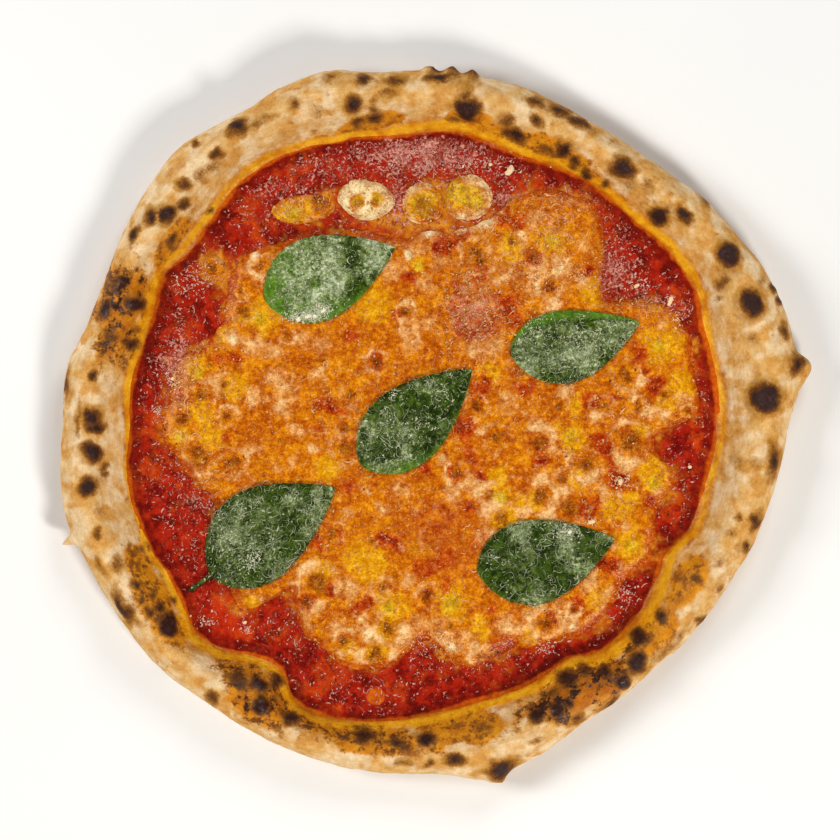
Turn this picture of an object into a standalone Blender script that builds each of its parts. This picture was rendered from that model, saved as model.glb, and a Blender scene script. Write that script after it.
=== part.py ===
# Neapolitan-style pizza: a blistered dough round, tomato sauce, melted mozzarella and five basil leaves.
# Metres, +Z up, the underside flat on Z = 0, the origin under the middle of the round.

import math
import random

import bmesh
import bpy
import numpy as np
from mathutils import Euler, Matrix, Vector
from mathutils.bvhtree import BVHTree

MM = 0.001

# Turned shapes
TURN_STEPS = 120          # steps of the dough, the sauce and the cheese sheet
PATCH_STEPS = 20          # steps of a small cheese patch
NOMINAL_SAUCE = 120.0     # mm, radius of the sauce edge in the turned profiles
NOMINAL_RIM = 150.0       # mm, radius of the rim's outside in the turned profiles
FLAT_RADIUS = 113.0       # mm, the dough is a flat base inside this nominal radius

# Levels, in mm above the underside
BASE_TOP = 3.5
SAUCE_UNDER = 3.92
SAUCE_LEVEL = 5.5
CHEESE_UNDER = 5.95

# Rim: its crown is CROWN_LEAST high, and higher where the rim is wider
CROWN_LEAST = 12.0        # mm
CROWN_PER_WIDTH = 0.28
CROWN_NOMINAL = 20.4      # mm, crown of the turned profile
CROWN_WAVE = 1.7          # mm, uneven rising of the dough

# Dough profile as (nominal radius, height) in mm, from the middle of the top round to the underside
DOUGH_PROFILE = [
    (0, BASE_TOP), (FLAT_RADIUS, BASE_TOP), (118, 3.9), (122, 5.7), (126, 10.2), (131, 16.0), (136.5, 19.8),
    (141.5, 20.2), (146, 17.4), (149.2, 12.6), (150, 7.6), (147.6, 3.0), (142, 0), (0, 0),
]

# Sauce profile, from the middle of the top to the middle of its underside
SAUCE_PROFILE = [
    (0, SAUCE_LEVEL), (58, SAUCE_LEVEL), (90, SAUCE_LEVEL), (104, SAUCE_LEVEL), (FLAT_RADIUS, SAUCE_LEVEL),
    (118, 5.75), (121.2, 6.6), (121.5, 6.05), (118, 4.4), (FLAT_RADIUS, SAUCE_UNDER), (0, SAUCE_UNDER),
]
SAUCE_DIP = 0.55          # mm, depth of the hollows spread in the sauce

# Outside of the rim as (degrees from +X, radius in mm)
RIM_OUTLINE = [
    (0, 148), (4, 151.5), (8.5, 156.5), (12, 154), (17, 154), (25, 152), (33, 149), (40, 147), (47, 143.5),
    (60, 142), (68, 143.5), (76, 145.5), (82, 146), (92, 147.5), (100, 149), (107, 154), (115, 154),
    (120, 152.5), (126, 154), (132, 156), (140, 154.5), (147, 152), (157, 149), (163, 149.5), (170, 154),
    (180, 154), (188, 156.5), (195, 157.5), (202, 155), (210, 153.5), (222, 152), (230, 149.5), (240, 148),
    (255, 147), (264, 146), (272, 145.5), (279, 149), (285, 146), (290, 143), (296, 139.5), (303, 138),
    (312, 137), (318, 138.5), (330, 139.5), (337, 141.5), (345, 143.5), (354, 145.5),
]

# Edge of the sauce against the rim, in the same form
SAUCE_OUTLINE = [
    (0, 117), (20, 117.5), (28, 121.5), (36, 121), (45, 118.5), (58, 119), (72, 116.3), (80, 119),
    (87, 121.3), (97, 120), (105, 122), (113, 125.5), (124, 128), (132, 126.5), (139, 124), (145, 124),
    (151, 127), (158, 123.8), (166, 124.3), (174, 125.5), (182, 125.5), (189, 127.3), (204, 127.3),
    (210, 125), (216, 127), (221, 130), (227, 126.5), (233, 119.5), (238, 118.5), (243, 126.5),
    (248, 128.3), (254, 127), (262, 123), (270, 119), (279, 115), (290, 113.5), (300, 111), (306, 115.5),
    (316, 115.5), (326, 111.5), (331, 109), (338, 114), (350, 114.5),
]

# Edge of the melted cheese sheet, with its lobes and the bays of bare sauce between them
CHEESE_OUTLINE = [
    (2, 107), (7, 109), (13, 110), (19, 112), (25, 109), (31, 101), (36, 89), (42, 94), (47, 103), (52, 111),
    (55, 114), (60, 110), (65, 105), (70, 100), (74, 89), (82, 82), (91, 80), (99, 80), (108, 84), (116, 88),
    (124, 94), (131, 100), (137, 104), (142, 105), (148, 99), (154, 96), (160, 100), (165, 107), (172, 109),
    (178, 111), (183, 111), (188, 106), (193, 101), (198, 95), (207, 98), (215, 104), (221, 109), (225, 108),
    (229, 91), (232, 94), (236, 99), (244, 103), (249, 107), (255, 106), (260, 101), (265, 92), (270, 91),
    (275, 98), (280, 102), (285, 100), (290, 99), (297, 100), (301, 102), (306, 105.5), (312, 106),
    (317, 104), (321, 101), (326, 104), (331, 104), (337, 100), (341, 99), (346, 101), (350, 99), (354, 92),
    (358, 94),
]
# Cheese sheet profile as (share of the outline's radius, height above its underside in mm)
CHEESE_PROFILE = [
    (0, 2.3), (0.22, 2.3), (0.42, 2.3), (0.6, 2.3), (0.77, 2.2), (0.91, 2.0), (0.985, 1.1), (1.0, 0), (0, 0),
]
CHEESE_SWELL = 0.6        # mm, unevenness of its top

# Small patches as name: (x, y, half length, half width in mm, turn in degrees)
CHEESE_PATCHES = {
    "mozzarella_patch_1": (-53.9, 89.8, 12.6, 5.6, 4),
    "mozzarella_patch_2": (-27.8, 93.6, 11.8, 8.4, -6),
    "mozzarella_patch_3": (-4.6, 92.2, 7.8, 8.4, 0),
    "mozzarella_patch_4": (15.2, 94.4, 9.2, 9.0, 12),
    "mozzarella_patch_5": (-91.3, 66.0, 4.1, 4.1, 0),
}
PATCH_PROFILE = [(0, 2.1), (0.6, 1.9), (0.93, 1.1), (1.0, 0.0), (0, 0.0)]

# Basil leaves as name: (stalk end x, y, tip x, y, half width, sideways bow, stalk length), all in mm
BASIL_LEAVES = {
    "basil_leaf_1": (-69.7, 51.9, -15.8, 73.9, 17.6, 0.2, 0.0),
    "basil_leaf_2": (32.4, 29.5, 85.9, 42.7, 15.2, -2.6, 0.0),
    "basil_leaf_3": (-29.5, -17.0, 16.2, 23.2, 16.3, 0.2, 0.0),
    "basil_leaf_4": (-92.4, -62.6, -40.7, -26.1, 19.2, 2.6, 11.0),
    "basil_leaf_5": (18.7, -61.0, 75.5, -47.3, 17.6, -1.6, 0.0),
}
LEAF_THICKNESS = 0.7      # mm
LEAF_REST = 0.35          # mm, gap between a leaf and what it lies on
LEAF_CUP = 1.1            # mm, rise of the blade's halves beside the midrib
LEAF_RUMPLE = 0.45        # mm
LEAF_ALONG = 13           # cells along a leaf
LEAF_ACROSS = 6           # cells across it
STALK_HALF = 0.9          # mm, half width of the stalk

# Burst bubbles that stand proud of the rim, as (degrees, radius, half length, half width, height in mm)
BLISTERS = [
    (4.5, 138, 8.2, 7.6, 2.9), (20.8, 141, 6.6, 6.0, 2.5), (29.8, 140.5, 6.6, 5.5, 2.4),
    (53.8, 132.5, 6.0, 5.0, 2.2), (83.8, 132, 6.0, 5.5, 2.2), (123.4, 146.8, 4.8, 4.2, 2.0),
    (141.5, 141, 4.8, 5.0, 2.0), (157.8, 133.5, 5.0, 5.4, 2.0), (184.7, 142, 5.2, 5.2, 2.2),
    (210.5, 147.5, 7.4, 4.0, 2.2), (217, 138, 6.2, 5.2, 2.1), (238.5, 136, 5.5, 5.2, 2.1),
    (280.9, 143.5, 7.0, 4.8, 2.4), (306.5, 131.5, 5.0, 5.5, 2.2), (343.2, 138, 4.4, 4.2, 1.8),
    (354, 140.5, 6.2, 4.0, 2.0),
]
BLISTER_SUNK = 0.3        # share of its height that a blister's middle lies below the crust
# Blisters and points that stick out of the rim's side, in the same form
SIDE_BLISTERS = [
    (9.0, 155.5, 4.4, 5.6, 3.8), (83.6, 146.6, 2.6, 3.0, 2.9), (87.0, 147.2, 2.6, 3.0, 3.0),
    (90.6, 147.8, 2.6, 3.0, 3.0), (197.6, 158.0, 2.0, 3.0, 5.4), (280.4, 148.6, 3.2, 3.4, 4.2),
]
SIDE_BLISTER_LEVEL = 9.0  # mm

# Grated cheese, fused to the sauce and to the sheet
SHRED_SIDES = 5
SHRED_LENGTH = (2.2, 4.2)     # mm
SHRED_WIDTH = (0.7, 1.1)      # mm
SHRED_APART = 4.6             # mm between shreds
SHRED_CLEAR = 1.0             # mm left free to every other piece
SAUCE_SHREDS = 28
SHEET_SHREDS = 30
CHUNK = (32.0, 105.5, 3.0, 2.4)   # x, y, length and width in mm of the largest bit of grated cheese
# Where grated cheese fell thickest, as (x, y, spread in mm, share of the shreds)
THICK_FALL = [(-3, 113, 26, 0.3), (77, 66, 12, 0.14), (-108, 24, 12, 0.12), (14, 48, 15, 0.2)]
FALL_RADIUS = 122.0           # mm, the rest falls evenly inside this radius


def clear_scene():
    for obj in list(bpy.data.objects):
        bpy.data.objects.remove(obj, do_unlink=True)


def new_collection(name):
    collection = bpy.data.collections.new(name)
    bpy.context.scene.collection.children.link(collection)
    return collection


def material(name, color, roughness):
    made = bpy.data.materials.new(name)
    made.use_nodes = True
    shader = made.node_tree.nodes["Principled BSDF"]
    shader.inputs["Base Color"].default_value = (*color, 1.0)
    shader.inputs["Roughness"].default_value = roughness
    return made


def smoothstep(low, high, value):
    share = min(max((value - low) / (high - low), 0.0), 1.0)
    return share * share * (3 - 2 * share)


def round_outline(points):
    """A smooth closed curve through (degrees, radius) points, as a function of the angle in degrees."""
    angles = [a for a, _ in points]
    radii = [r for _, r in points]
    count = len(points)

    def radius(angle):
        angle = (angle - angles[0]) % 360 + angles[0]
        i = max(k for k in range(count) if angles[k] <= angle)
        after = angles[i + 1] if i + 1 < count else angles[0] + 360
        t = (angle - angles[i]) / (after - angles[i])
        p0, p1, p2, p3 = (radii[(i + k) % count] for k in (-1, 0, 1, 2))
        bend = 2 * p0 - 5 * p1 + 4 * p2 - p3 + (3 * p1 - p0 - 3 * p2 + p3) * t
        return p1 + 0.5 * t * (p2 - p0 + t * bend)

    return radius


def ring_wave(seed, waves):
    """Uneven rising round the rim: a few seeded cosines of the angle, between about -1 and 1."""
    rng = random.Random(seed)
    parts = [(k, rng.uniform(0, 360), rng.uniform(0.5, 1.0)) for k in waves]
    whole = sum(size for _, _, size in parts)
    return lambda angle: 1.7 * sum(s * math.cos(math.radians(k * angle + p)) for k, p, s in parts) / whole


def plane_wave(seed, length, count=9):
    """Uneven melting over the top: seeded waves about length mm long, between about -1 and 1."""
    rng = random.Random(seed)
    parts = []
    for _ in range(count):
        turn = rng.uniform(0, math.tau)
        pitch = math.tau / (length * rng.uniform(0.7, 1.5))
        parts.append((pitch * math.cos(turn), pitch * math.sin(turn), rng.uniform(0, math.tau)))
    return lambda x, y: 1.8 * sum(math.sin(a * x + b * y + c) for a, b, c in parts) / count


rim_radius = round_outline(RIM_OUTLINE)
sauce_radius = round_outline(SAUCE_OUTLINE)
cheese_radius = round_outline(CHEESE_OUTLINE)
crown_wave = ring_wave(11, (3, 5, 8, 13, 19))
sauce_wave = plane_wave(5, 26)
cheese_wave = plane_wave(8, 21)


def crown_height(angle):
    width = rim_radius(angle) - sauce_radius(angle)
    return CROWN_LEAST + CROWN_PER_WIDTH * width + CROWN_WAVE * crown_wave(angle)


def on_round(nominal, angle, level):
    """Carries a point of a turned profile to the real round: its radius and height in mm."""
    inner = sauce_radius(angle)
    if nominal <= NOMINAL_SAUCE:
        radius = nominal * inner / NOMINAL_SAUCE
    else:
        share = (nominal - NOMINAL_SAUCE) / (NOMINAL_RIM - NOMINAL_SAUCE)
        radius = inner + share * (rim_radius(angle) - inner)
    if level > BASE_TOP:
        lift = smoothstep(FLAT_RADIUS, NOMINAL_SAUCE, nominal) * (crown_height(angle) / CROWN_NOMINAL - 1)
        level = BASE_TOP + (level - BASE_TOP) * (1 + lift)
    return radius, level


def turned(name, profile, steps):
    """A closed turned solid from a profile of (radius, height) that starts and ends on the axis."""
    mesh = bpy.data.meshes.new(name)
    edges = [(i, i + 1) for i in range(len(profile) - 1)]
    mesh.from_pydata([(r, 0, z) for r, z in profile], edges, [])
    guide = bpy.data.objects.new(name + "_profile", mesh)
    bpy.context.scene.collection.objects.link(guide)
    screw = guide.modifiers.new("turn", "SCREW")
    screw.steps = screw.render_steps = steps
    screw.use_merge_vertices = True
    screw.merge_threshold = 0.0001
    solid = bpy.data.meshes.new_from_object(guide.evaluated_get(bpy.context.evaluated_depsgraph_get()))
    bpy.data.objects.remove(guide, do_unlink=True)
    work = bmesh.new()
    work.from_mesh(solid)
    bmesh.ops.remove_doubles(work, verts=work.verts, dist=0.0001)
    bmesh.ops.recalc_face_normals(work, faces=work.faces)
    bmesh.ops.triangulate(work, faces=work.faces)
    work.to_mesh(solid)
    work.free()
    return solid


def add_object(name, mesh, finish, collection):
    mesh.name = name
    obj = bpy.data.objects.new(name, mesh)
    mesh.materials.clear()
    mesh.materials.append(finish)
    mesh.shade_smooth()
    mesh.set_sharp_from_angle(angle=math.radians(50))
    collection.objects.link(obj)
    return obj


def reshape(mesh, rule):
    """Moves each vertex, given to the rule as (radius, degrees, height) in the profile's mm, to metres."""
    for vertex in mesh.vertices:
        x, y, z = vertex.co
        angle = math.degrees(math.atan2(y, x)) % 360
        vertex.co = Vector(rule(math.hypot(x, y), angle, z)) * MM
    mesh.update()


def polar(radius, angle):
    return radius * math.cos(math.radians(angle)), radius * math.sin(math.radians(angle))


def surface(obj):
    work = bmesh.new()
    work.from_mesh(obj.data)
    tree = BVHTree.FromBMesh(work)
    work.free()
    return tree


def height_on(trees, x, y):
    """Highest point in mm of the given surfaces above a place in mm, or None where none lies there."""
    hits = [tree.ray_cast(Vector((x * MM, y * MM, 1.0)), Vector((0, 0, -1)))[0] for tree in trees]
    levels = [hit.z / MM for hit in hits if hit]
    return max(levels) if levels else None


def fuse(obj, bits):
    """Unites an object with a collection of small solids, and clears the collection."""
    union = obj.modifiers.new("fuse", "BOOLEAN")
    union.operation = "UNION"
    union.operand_type = "COLLECTION"
    union.collection = bits
    union.solver = "EXACT"
    joined = bpy.data.meshes.new_from_object(obj.evaluated_get(bpy.context.evaluated_depsgraph_get()))
    obj.modifiers.clear()
    for bit in list(bits.objects):
        bpy.data.objects.remove(bit, do_unlink=True)
    bpy.data.collections.remove(bits)
    finish = obj.data.materials[0]
    work = bmesh.new()
    work.from_mesh(joined)
    bmesh.ops.remove_doubles(work, verts=work.verts, dist=0.00002)
    bmesh.ops.dissolve_degenerate(work, edges=work.edges, dist=0.00002)
    bmesh.ops.triangulate(work, faces=work.faces)
    for face in work.faces:
        face.material_index = 0
    work.to_mesh(joined)
    work.free()
    joined.name = obj.name
    joined.materials.clear()
    joined.materials.append(finish)
    joined.shade_smooth()
    joined.set_sharp_from_angle(angle=math.radians(50))
    obj.data = joined


# Dough: a flat base that rises into a puffed rim
def make_dough(collection):
    mesh = turned("dough", DOUGH_PROFILE, TURN_STEPS)

    def rule(radius, angle, level):
        radius, level = on_round(radius, angle, level)
        return (*polar(radius, angle), level)

    reshape(mesh, rule)
    return add_object("dough", mesh, material("baked_dough", (0.72, 0.5, 0.27), 0.75), collection)


def blister(bits, tree, angle, place, long_half, wide_half, height):
    """One flattened bubble, its middle sunk in the crust, lying along the rim."""
    spot, normal, _, _ = tree.find_nearest(place)
    work = bmesh.new()
    bmesh.ops.create_icosphere(work, subdivisions=2, radius=1.0)
    along = Vector((-math.sin(math.radians(angle)), math.cos(math.radians(angle)), 0))
    side = normal.cross(along).normalized()
    along = side.cross(normal)
    frame = Matrix((along * long_half * MM, side * wide_half * MM, normal * height * MM)).transposed()
    spot = spot - normal * height * BLISTER_SUNK * MM
    bmesh.ops.transform(work, matrix=Matrix.Translation(spot) @ frame.to_4x4(), verts=work.verts)
    bmesh.ops.recalc_face_normals(work, faces=work.faces)
    mesh = bpy.data.meshes.new("blister")
    work.to_mesh(mesh)
    work.free()
    bits.objects.link(bpy.data.objects.new("blister", mesh))


def blister_dough(dough):
    tree = surface(dough)
    bits = new_collection("blisters")
    for angle, radius, long_half, wide_half, height in BLISTERS:
        place = Vector((*polar(radius, angle), CROWN_NOMINAL)) * MM
        blister(bits, tree, angle, place, long_half, wide_half, height)
    for angle, radius, long_half, wide_half, height in SIDE_BLISTERS:
        place = Vector((*polar(radius, angle), SIDE_BLISTER_LEVEL)) * MM
        blister(bits, tree, angle, place, long_half, wide_half, height)
    fuse(dough, bits)


# Sauce: a thin uneven layer that climbs the foot of the rim
def make_sauce(collection):
    mesh = turned("tomato_sauce", SAUCE_PROFILE, TURN_STEPS)

    def rule(radius, angle, level):
        inside = radius < FLAT_RADIUS
        top = level > (SAUCE_LEVEL + SAUCE_UNDER) / 2
        radius, level = on_round(radius, angle, level)
        x, y = polar(radius, angle)
        if inside and top:
            level -= SAUCE_DIP * (0.5 + 0.5 * sauce_wave(x, y))
        return x, y, level

    reshape(mesh, rule)
    return add_object("tomato_sauce", mesh, material("tomato", (0.42, 0.012, 0.008), 0.3), collection)


# Mozzarella: one lobed sheet and a few small patches, melted flat on the sauce
def make_sheet(collection, finish):
    mesh = turned("mozzarella_sheet", [(100 * share, z) for share, z in CHEESE_PROFILE], TURN_STEPS)

    def rule(radius, angle, level):
        x, y = polar(cheese_radius(angle) * radius / 100, angle)
        if level > 0:
            level *= 1 + CHEESE_SWELL / CHEESE_PROFILE[0][1] * cheese_wave(x, y)
        return x, y, CHEESE_UNDER + level

    reshape(mesh, rule)
    return add_object("mozzarella_sheet", mesh, finish, collection)


def make_patch(name, x, y, long_half, wide_half, turn, seed, collection, finish):
    mesh = turned(name, PATCH_PROFILE, PATCH_STEPS)
    wobble = ring_wave(seed, (2, 3, 5))
    swing = math.radians(turn)

    def rule(share, angle, level):
        share *= 1 + 0.045 * wobble(angle)
        along, across = polar(share, angle)
        along, across = along * long_half, across * wide_half
        return (
            x + along * math.cos(swing) - across * math.sin(swing),
            y + along * math.sin(swing) + across * math.cos(swing),
            CHEESE_UNDER + level,
        )

    reshape(mesh, rule)
    return add_object(name, mesh, finish, collection)


# Basil: whole leaves laid on the hot cheese, cupped beside the midrib
def leaf_half_width(t, widest):
    return widest * math.sin(math.pi * t**0.72) ** 0.85


def make_leaf(name, place, seed, trees, collection, finish):
    foot_x, foot_y, tip_x, tip_y, widest, bow, stalk = place
    length = math.hypot(tip_x - foot_x, tip_y - foot_y)
    ahead = ((tip_x - foot_x) / length, (tip_y - foot_y) / length)
    rumple = plane_wave(seed, 17)
    work = bmesh.new()
    bmesh.ops.create_grid(work, x_segments=LEAF_ALONG, y_segments=LEAF_ACROSS, size=1.0)
    for vertex in work.verts:
        along = (vertex.co.x + 1) / 2 * (length + stalk) - stalk
        t = min(max(along / length, 0.0), 1.0)
        half = max(leaf_half_width(t, widest), STALK_HALF * (1.0 if along < length / 2 else 0.6))
        across = bow * math.sin(math.pi * t) + half * vertex.co.y
        x = foot_x + along * ahead[0] - across * ahead[1]
        y = foot_y + along * ahead[1] + across * ahead[0]
        reach = [(x + dx, y + dy) for dx in (-3, 0, 3) for dy in (-3, 0, 3)]
        below = [height_on(trees, *spot) for spot in reach]
        level = max(z for z in below if z is not None)
        cup = LEAF_CUP * math.sin(math.pi * abs(vertex.co.y)) * min(half / widest, 1.0)
        level += LEAF_REST + cup + LEAF_RUMPLE * (1 + rumple(x, y)) / 2
        vertex.co = Vector((x, y, level)) * MM
    bmesh.ops.triangulate(work, faces=work.faces)
    mesh = bpy.data.meshes.new(name)
    work.to_mesh(mesh)
    work.free()
    leaf = add_object(name, mesh, finish, collection)
    thick = leaf.modifiers.new("blade", "SOLIDIFY")
    thick.thickness = LEAF_THICKNESS * MM
    thick.offset = 1.0
    return leaf


# Grated hard cheese: short bent strips, the largest of them fused to what they lie on
def shred(bits, x, y, z, length, width, rng):
    work = bmesh.new()
    bmesh.ops.create_cone(
        work, cap_ends=True, segments=SHRED_SIDES, radius1=width / 2, radius2=width / 2 * 0.7, depth=length
    )
    sides = [e for e in work.edges if abs(e.verts[0].co.z - e.verts[1].co.z) > length / 2]
    bmesh.ops.subdivide_edges(work, edges=sides, cuts=1)
    bend = rng.uniform(-0.25, 0.25) * length
    for vertex in work.verts:
        vertex.co.y += bend * (1 - (2 * vertex.co.z / length) ** 2)
    turn = Euler((0, math.pi / 2, rng.uniform(0, math.pi))).to_matrix().to_4x4()
    lay = Matrix.Translation(Vector((x, y, z)) * MM) @ Matrix.Diagonal((MM, MM, MM * 0.8, 1))
    bmesh.ops.transform(work, matrix=lay @ turn, verts=work.verts)
    bmesh.ops.recalc_face_normals(work, faces=work.faces)
    mesh = bpy.data.meshes.new("shred")
    work.to_mesh(mesh)
    work.free()
    bits.objects.link(bpy.data.objects.new("shred", mesh))


def fall(rng):
    """A place in mm where a shred falls: thicker in a few spots, even elsewhere."""
    draw = rng.random()
    for x, y, spread, share in THICK_FALL:
        if draw < share:
            return rng.gauss(x, spread * 0.5), rng.gauss(y, spread * 0.35)
        draw -= share
    return polar(FALL_RADIUS * math.sqrt(rng.random()), rng.uniform(0, 360))


def strew(obj, others, count, seed, name):
    """Fuses count shreds to an object, each clear of the other pieces and of the shreds before it."""
    rng = random.Random(seed)
    bits = new_collection(name)
    ground = [surface(obj)]
    placed = []
    if name == "sauce_shreds":
        x, y, length, width = CHUNK
        placed.append((x, y))
        shred(bits, x, y, height_on(ground, x, y) + 0.15, length, width, rng)
    while len(placed) < count:
        x, y = fall(rng)
        length = rng.uniform(*SHRED_LENGTH)
        width = rng.uniform(*SHRED_WIDTH)
        reach = length / 2 + SHRED_CLEAR
        ring = [(x + reach * math.cos(a), y + reach * math.sin(a)) for a in np.linspace(0, math.tau, 9)[:-1]]
        ring.append((x, y))
        levels = [height_on(ground, *spot) for spot in ring]
        if any(level is None for level in levels) or max(levels) - min(levels) > 0.8:
            continue
        if any(height_on(others, *spot) is not None for spot in ring):
            continue
        if any(math.hypot(x - a, y - b) < SHRED_APART for a, b in placed):
            continue
        placed.append((x, y))
        shred(bits, x, y, levels[-1] + width * 0.12, length, width, rng)
    fuse(obj, bits)


clear_scene()
pizza = new_collection("pizza")
dough = make_dough(pizza)
sauce = make_sauce(pizza)
melted = material("melted_mozzarella", (0.83, 0.42, 0.08), 0.4)
sheet = make_sheet(pizza, melted)
patches = [
    make_patch(name, *place, seed, pizza, melted)
    for seed, (name, place) in enumerate(CHEESE_PATCHES.items(), 40)
]
blister_dough(dough)

basil = material("basil_leaf", (0.045, 0.14, 0.03), 0.5)
beds = [surface(obj) for obj in (dough, sauce, sheet, *patches)]
leaves = [
    make_leaf(name, place, seed, beds, pizza, basil)
    for seed, (name, place) in enumerate(BASIL_LEAVES.items(), 60)
]

bpy.context.view_layer.update()
blades = [surface(leaf) for leaf in leaves]
flat = [surface(patch) for patch in patches]
strew(sauce, [surface(sheet), *flat, *blades], SAUCE_SHREDS, 3, "sauce_shreds")
strew(sheet, blades, SHEET_SHREDS, 4, "sheet_shreds")
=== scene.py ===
import math
import random

import bpy
import numpy as np
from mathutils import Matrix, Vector
from mathutils.bvhtree import BVHTree


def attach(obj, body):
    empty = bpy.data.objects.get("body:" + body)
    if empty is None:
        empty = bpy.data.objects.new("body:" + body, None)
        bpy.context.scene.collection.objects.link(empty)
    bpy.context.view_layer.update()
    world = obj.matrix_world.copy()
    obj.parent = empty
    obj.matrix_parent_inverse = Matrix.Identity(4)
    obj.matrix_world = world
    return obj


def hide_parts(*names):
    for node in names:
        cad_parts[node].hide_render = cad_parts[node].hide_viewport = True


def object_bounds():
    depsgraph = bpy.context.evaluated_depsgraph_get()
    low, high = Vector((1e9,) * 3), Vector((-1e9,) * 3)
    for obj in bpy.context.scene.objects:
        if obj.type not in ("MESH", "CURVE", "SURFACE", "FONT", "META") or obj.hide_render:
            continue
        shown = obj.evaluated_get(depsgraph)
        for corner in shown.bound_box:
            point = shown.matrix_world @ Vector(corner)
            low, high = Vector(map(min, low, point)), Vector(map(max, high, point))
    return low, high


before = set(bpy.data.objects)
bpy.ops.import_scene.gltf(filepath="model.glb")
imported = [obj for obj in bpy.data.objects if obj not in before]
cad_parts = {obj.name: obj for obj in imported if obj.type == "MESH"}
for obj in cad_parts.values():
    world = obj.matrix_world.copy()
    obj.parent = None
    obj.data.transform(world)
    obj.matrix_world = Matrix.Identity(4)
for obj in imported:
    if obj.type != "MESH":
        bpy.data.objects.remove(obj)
cad_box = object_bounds()


# Camera and light
# The photo looks straight down on the pizza under broad soft light, a little stronger from its lower right.
# A long lens at two metres keeps the rim's height from spreading its outline.
MM = 0.001
PHOTO_SIDE = 840          # px, both sides of the photo
PX = 0.415                # mm for each px of the photo
MIDDLE_PX = (433, 425)    # where the origin of the frame lies in the photo
CAMERA_HEIGHT = 2.0       # m
SENSOR = 36.0             # mm
scene = bpy.context.scene
scene.view_settings.view_transform = "Standard"

camera_data = bpy.data.cameras.new("camera")
camera = bpy.data.objects.new("camera", camera_data)
scene.collection.objects.link(camera)
scene.camera = camera
field = PHOTO_SIDE * PX * MM
mid_height = (cad_box[0].z + cad_box[1].z) / 2
camera_data.sensor_width = SENSOR
camera_data.lens = SENSOR * (CAMERA_HEIGHT - mid_height) / field
camera.location = (
    (PHOTO_SIDE / 2 - MIDDLE_PX[0]) * PX * MM,
    (MIDDLE_PX[1] - PHOTO_SIDE / 2) * PX * MM,
    CAMERA_HEIGHT,
)


def linear(code):
    """An sRGB hex colour such as 'e8c48c' as linear red, green, blue and alpha."""
    parts = [int(code[i:i + 2], 16) / 255 for i in (0, 2, 4)]
    return (*[c / 12.92 if c <= 0.04045 else ((c + 0.055) / 1.055) ** 2.4 for c in parts], 1.0)


def soft_light(name, place, size, watts, tint):
    """One square studio lamp, its place and size in m, that faces the middle of the pizza."""
    data = bpy.data.lights.new(name, "AREA")
    data.size = size
    data.energy = watts
    data.color = linear(tint)[:3]
    light = bpy.data.objects.new(name, data)
    light.location = place
    light.rotation_euler = (-Vector(place)).to_track_quat("-Z", "Y").to_euler()
    scene.collection.objects.link(light)


soft_light("key_light", (0.75, -1.1, 1.05), 0.35, 21.5, "fffaf2")
soft_light("fill_light", (-1.3, 0.2, 1.0), 0.6, 17.0, "fdfcfb")
soft_light("back_light", (0.5, 1.2, 1.0), 0.6, 10.0, "ffffff")
world = bpy.data.worlds.new("studio")
world.use_nodes = True
world.node_tree.nodes["Background"].inputs["Color"].default_value = linear("ffffff")
world.node_tree.nodes["Background"].inputs["Strength"].default_value = 0.12
scene.world = world


def add(tree, kind, inputs=None, out=None, **settings):
    """Adds a shader node with its settings and links, and gives one of its outputs."""
    made = tree.nodes.new("ShaderNode" + kind)
    for key, value in settings.items():
        setattr(made, key, value)
    for key, value in (inputs or {}).items():
        if isinstance(value, bpy.types.NodeSocket):
            tree.links.new(value, made.inputs[key])
        else:
            made.inputs[key].default_value = linear(value) if isinstance(value, str) else value
    return made.outputs[out] if out else next(socket for socket in made.outputs if socket.enabled)


def weigh(tree, *parts):
    """The weighted sum of (value, weight) pairs."""
    total = 0.0
    for value, weight in parts:
        total = add(tree, "Math", {0: value, 1: weight, 2: total}, operation="MULTIPLY_ADD")
    return total


def wash(tree, under, over, start, end, *parts, most=1.0):
    """Lays one tone over another where the weighted parts pass from start to end; gives tone and cover."""
    cover = add(tree, "MapRange", {
        "Value": weigh(tree, *parts), "From Min": start, "From Max": end, "To Max": most},
        interpolation_type="SMOOTHSTEP")
    return add(tree, "Mix", {0: cover, 6: under, 7: over}, data_type="RGBA"), cover


def new_finish(name, **values):
    """A material with one Principled shader, and the shader's constant values set on its own sockets."""
    finish = bpy.data.materials.new(name)
    finish.use_nodes = True
    shader = finish.node_tree.nodes["Principled BSDF"]
    for key, value in values.items():
        shader.inputs[key.replace("_", " ").title().replace("Ior", "IOR")].default_value = value
    return finish, finish.node_tree, shader


FLOOR_HALF = 2.0          # m, half of each side of the floor
FLOOR_DROP = 0.0002       # m, how far it lies below the underside
FLOOR_CLOUDS = 3.0        # patches of its faint tone in each metre


def painted_floor():
    """Matt pale studio floor: nearly even, with a faint tone so that it isn't one flat colour."""
    finish, tree, shader = new_finish("matt_floor_paint", roughness=0.8)
    cloud = add(tree, "TexNoise", {"Vector": add(tree, "TexCoord", out="Object"), "Scale": FLOOR_CLOUDS})
    tone, _ = wash(tree, "ececeb", "f1f1f0", 0.3, 0.7, (cloud, 1))
    tree.links.new(tone, shader.inputs["Base Color"])
    return finish


floor_mesh = bpy.data.meshes.new("floor")
floor_mesh.from_pydata(
    [(x * FLOOR_HALF, y * FLOOR_HALF, -FLOOR_DROP) for x, y in ((-1, -1), (1, -1), (1, 1), (-1, 1))],
    [], [(0, 1, 2, 3)])
floor = bpy.data.objects.new("floor", floor_mesh)
floor_mesh.materials.append(painted_floor())
scene.collection.objects.link(floor)


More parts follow.
